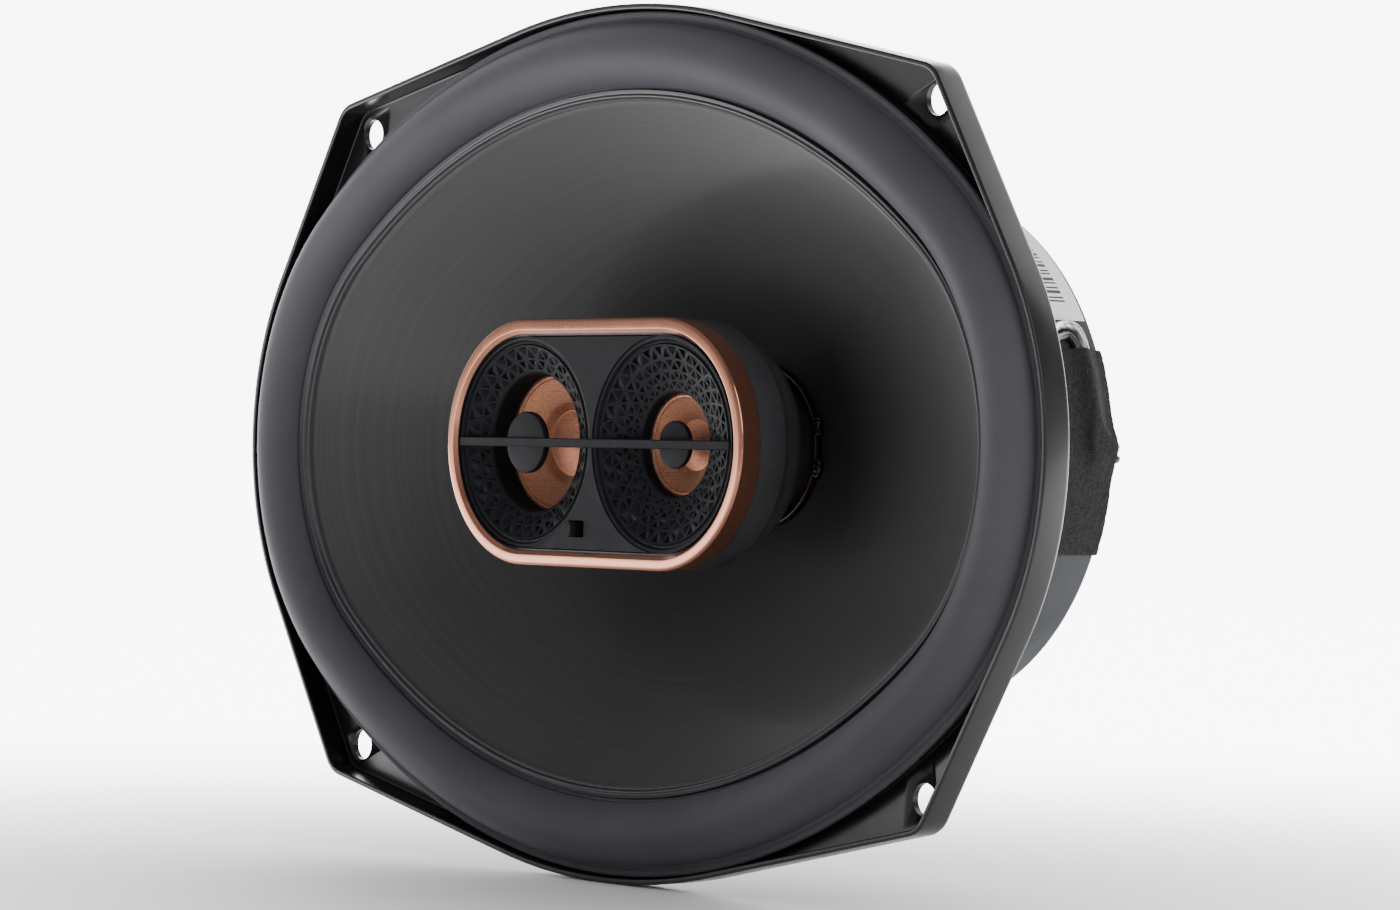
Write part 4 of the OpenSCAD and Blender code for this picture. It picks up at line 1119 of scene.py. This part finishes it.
def felt():
    """Strip of felt laid on the magnet over the two wires, which lift it in two ridges."""
    thick, columns, rows = 1.1, 110, 44
    ridge, ridge_w, dive_w, fold_in = 1.55, 2.3, 3.6, 0.25
    low, high = BACK_Z + 0.2, MAGNET_FRONT - 1.0
    run_z = BACK_Z + 5.6
    rng = random.Random(3)
    fray = [rng.uniform(-0.12, 0.12) for _ in range(columns + rows + 2)]

    def outer_r(up, z):
        along = math.exp(-((z - run_z) / ridge_w) ** 2) * ease(up, -2, 2) * (1 - 0.25 * ease(up, 14, 20))
        down = math.exp(-((up - 1.0) / dive_w) ** 2) * (1 - ease(z, run_z - 1, run_z + 3))
        grain = 0.05 * math.sin(1.9 * up + 2.3 * z) * math.sin(0.7 * up - 1.7 * z)
        return MAGNET_R + thick + ridge * min(1.0, along + down) + grain

    grids = ([], [])
    for i in range(columns + 1):
        for j in range(rows + 1):
            a = math.radians(-FELT_HALF_A + 2 * FELT_HALF_A * i / columns)
            z = low + (high - low) * j / rows
            if i in (0, columns):
                a += fray[j] / MAGNET_R
            if j in (0, rows):
                z += abs(fray[i]) * (1 if j == 0 else -1)
            r = outer_r(MAGNET_R * math.sin(a), z)
            if i in (0, columns) or j in (0, rows):
                r -= fold_in
            for grid, radius in zip(grids, (r, max(MAGNET_R + 0.06, r - thick))):
                grid.append((radius * math.cos(a), radius * math.sin(a), z))
    points = grids[0] + grids[1]
    base, step = len(grids[0]), rows + 1
    faces = []
    for i in range(columns):
        for j in range(rows):
            q = (i * step + j, (i + 1) * step + j, (i + 1) * step + j + 1, i * step + j + 1)
            faces += [q, tuple(base + v for v in reversed(q))]
    edge = [i * step for i in range(columns)] + [columns * step + j for j in range(rows)]
    edge += [i * step + rows for i in range(columns, 0, -1)] + list(range(rows, 0, -1))
    faces += [(edge[k - 1], edge[k], base + edge[k], base + edge[k - 1]) for k in range(len(edge))]
    piece = build("felt_pad", points, faces, "black_felt", "frame", ("felt_strip",), sharp=60)


def curved_patch(radius, thick, a0, a1, z0, z1, steps=24):
    """A thin patch bent round the magnet, as (points, faces)."""
    points, faces = [], []
    for r in (radius, radius + thick):
        for i in range(steps + 1):
            a = a0 + (a1 - a0) * i / steps
            points += [(r * math.cos(a), r * math.sin(a), z) for z in (z0, z1)]
    half = 2 * (steps + 1)
    for i in range(steps):
        q = (2 * i, 2 * i + 2, 2 * i + 3, 2 * i + 1)
        faces += [tuple(half + v for v in q), tuple(reversed(q)),
                  (q[0], q[1], half + q[1], half + q[0]), (q[3], q[2], half + q[2], half + q[3])]
    for i in (0, steps):
        faces.append((2 * i, 2 * i + 1, half + 2 * i + 1, half + 2 * i))
    return points, faces


def label():
    """White label with plain stripes of two widths."""
    a0, a1, low, high = math.radians(29.3), math.radians(63), BACK_Z + 1.2, MAGNET_FRONT - 1.0
    sheet = curved_patch(MAGNET_R + 0.03, 0.13, a0, a1, low, high)
    build("label_sheet", *sheet, "label_paper", "frame", ("paper_label",))
    stripes, a, i = [], a0 + math.radians(4.6), 0
    while a < a1 - math.radians(5):
        width = math.radians((0.42, 0.42, 0.8)[i % 3])
        stripes.append(curved_patch(MAGNET_R + 0.165, 0.02, a, a + width, low + 3.2, high - 2, steps=2))
        a += width + math.radians((0.5, 0.9)[i % 2])
        i += 1
    ink = Finish("label_ink")
    tinted(ink, (0.012, 0.012, 0.013), 0.2, 0.5)
    ink.set(Roughness=0.45)
    FINISHES["label_ink"] = (ink.material, "label_paper")
    build("label_stripes", *merge(*stripes), "label_ink")


jumper_wire("jumper_wire_positive", -0.1, 1, "clear_wire")
jumper_wire("jumper_wire_negative", 2.1, -1, "black_wire")
felt()
label()

# ---- Camera, lights and floor ----

EYE = Vector((686.66, -565.92, -1.37)) * MM
AIM = Vector((8.5, 8.8, -1.8)) * MM
ROLL_DEGREES = 1.0934
LENS_MM, SENSOR_MM = 122.27, 36.0
GLOW = 7.5
# Name: place and size in metres, power in watts. All of them point at the speaker.
LAMPS = {
    "key": ((-0.5, -1.2, 1.9), (2.2, 1.6), 2.5),
    "side": ((1.6, -0.4, 0.9), (0.9, 1.2), 14),
    "rear": ((0.3, 1.6, 1.3), (1.6, 0.9), 12),
}


def camera():
    made = bpy.data.objects.new("camera", bpy.data.cameras.new("camera"))
    made.data.sensor_width = SENSOR_MM
    made.data.lens = LENS_MM
    made.data.clip_start = 0.01
    turn = (AIM - EYE).to_track_quat("-Z", "Y").to_matrix().to_4x4()
    roll = Matrix.Rotation(math.radians(ROLL_DEGREES), 4, "Z")
    made.matrix_world = Matrix.Translation(EYE) @ turn @ roll
    bpy.context.scene.collection.objects.link(made)
    bpy.context.scene.camera = made


def lamps():
    for name, (where, size, power) in LAMPS.items():
        lamp = bpy.data.lights.new(name, "AREA")
        lamp.shape = "RECTANGLE"
        lamp.size, lamp.size_y = size
        lamp.energy = power
        made = bpy.data.objects.new(name, lamp)
        made.location = where
        made.rotation_euler = (-Vector(where)).to_track_quat("-Z", "Y").to_euler()
        bpy.context.scene.collection.objects.link(made)


def room(behind):
    """World: paler low down, and brightest in the direction behind."""
    world = bpy.data.worlds.new("studio")
    world.use_nodes = True
    nodes = Nodes(world.node_tree, "Generated")
    light = world.node_tree.nodes["Background"]
    light.inputs["Color"].default_value = (0.97, 0.98, 1.0, 1)
    ceiling = nodes.spread(nodes.axis("Z"), 1.05, 0.25, -0.1, 0.6)
    backlight = nodes.spread(nodes.against("DOT_PRODUCT", behind), 0, GLOW, 0.55, 0.95, True)
    nodes.link(nodes.math("ADD", ceiling, backlight), light.inputs["Strength"])
    bpy.context.scene.world = world


def ground(behind):
    """Pale floor at the speaker's foot, which glows towards the far side so that no edge shows."""
    floor_z, reach = -HALF_H * MM, 10.0
    mesh = bpy.data.meshes.new("floor")
    corners = rectangle(-reach, reach, -reach, reach)
    mesh.from_pydata([(x, y, floor_z) for x, y in corners], [], [(0, 1, 2, 3)])
    f = Finish("floor")
    tinted(f, (0.9, 0.9, 0.9), 0.01, 0.002)
    away = f.spread(f.against("DISTANCE", (0, 0, floor_z)), 0, GLOW, 0.02, 0.5, True)
    far_side = f.spread(f.against("DOT_PRODUCT", behind), 0, 1, -0.5, 0.35, True)
    f.set(Roughness=0.7, Emission_Color=(1, 1, 1, 1))
    f.link(f.math("MULTIPLY", away, far_side), f.shader.inputs["Emission Strength"])
    mesh.materials.append(f.material)
    floor = bpy.data.objects.new("floor", mesh)
    bpy.context.scene.collection.objects.link(floor)


camera()
lamps()
BEHIND = Vector((-0.763, 0.6465, 0)).normalized()
room(BEHIND)
ground(BEHIND)
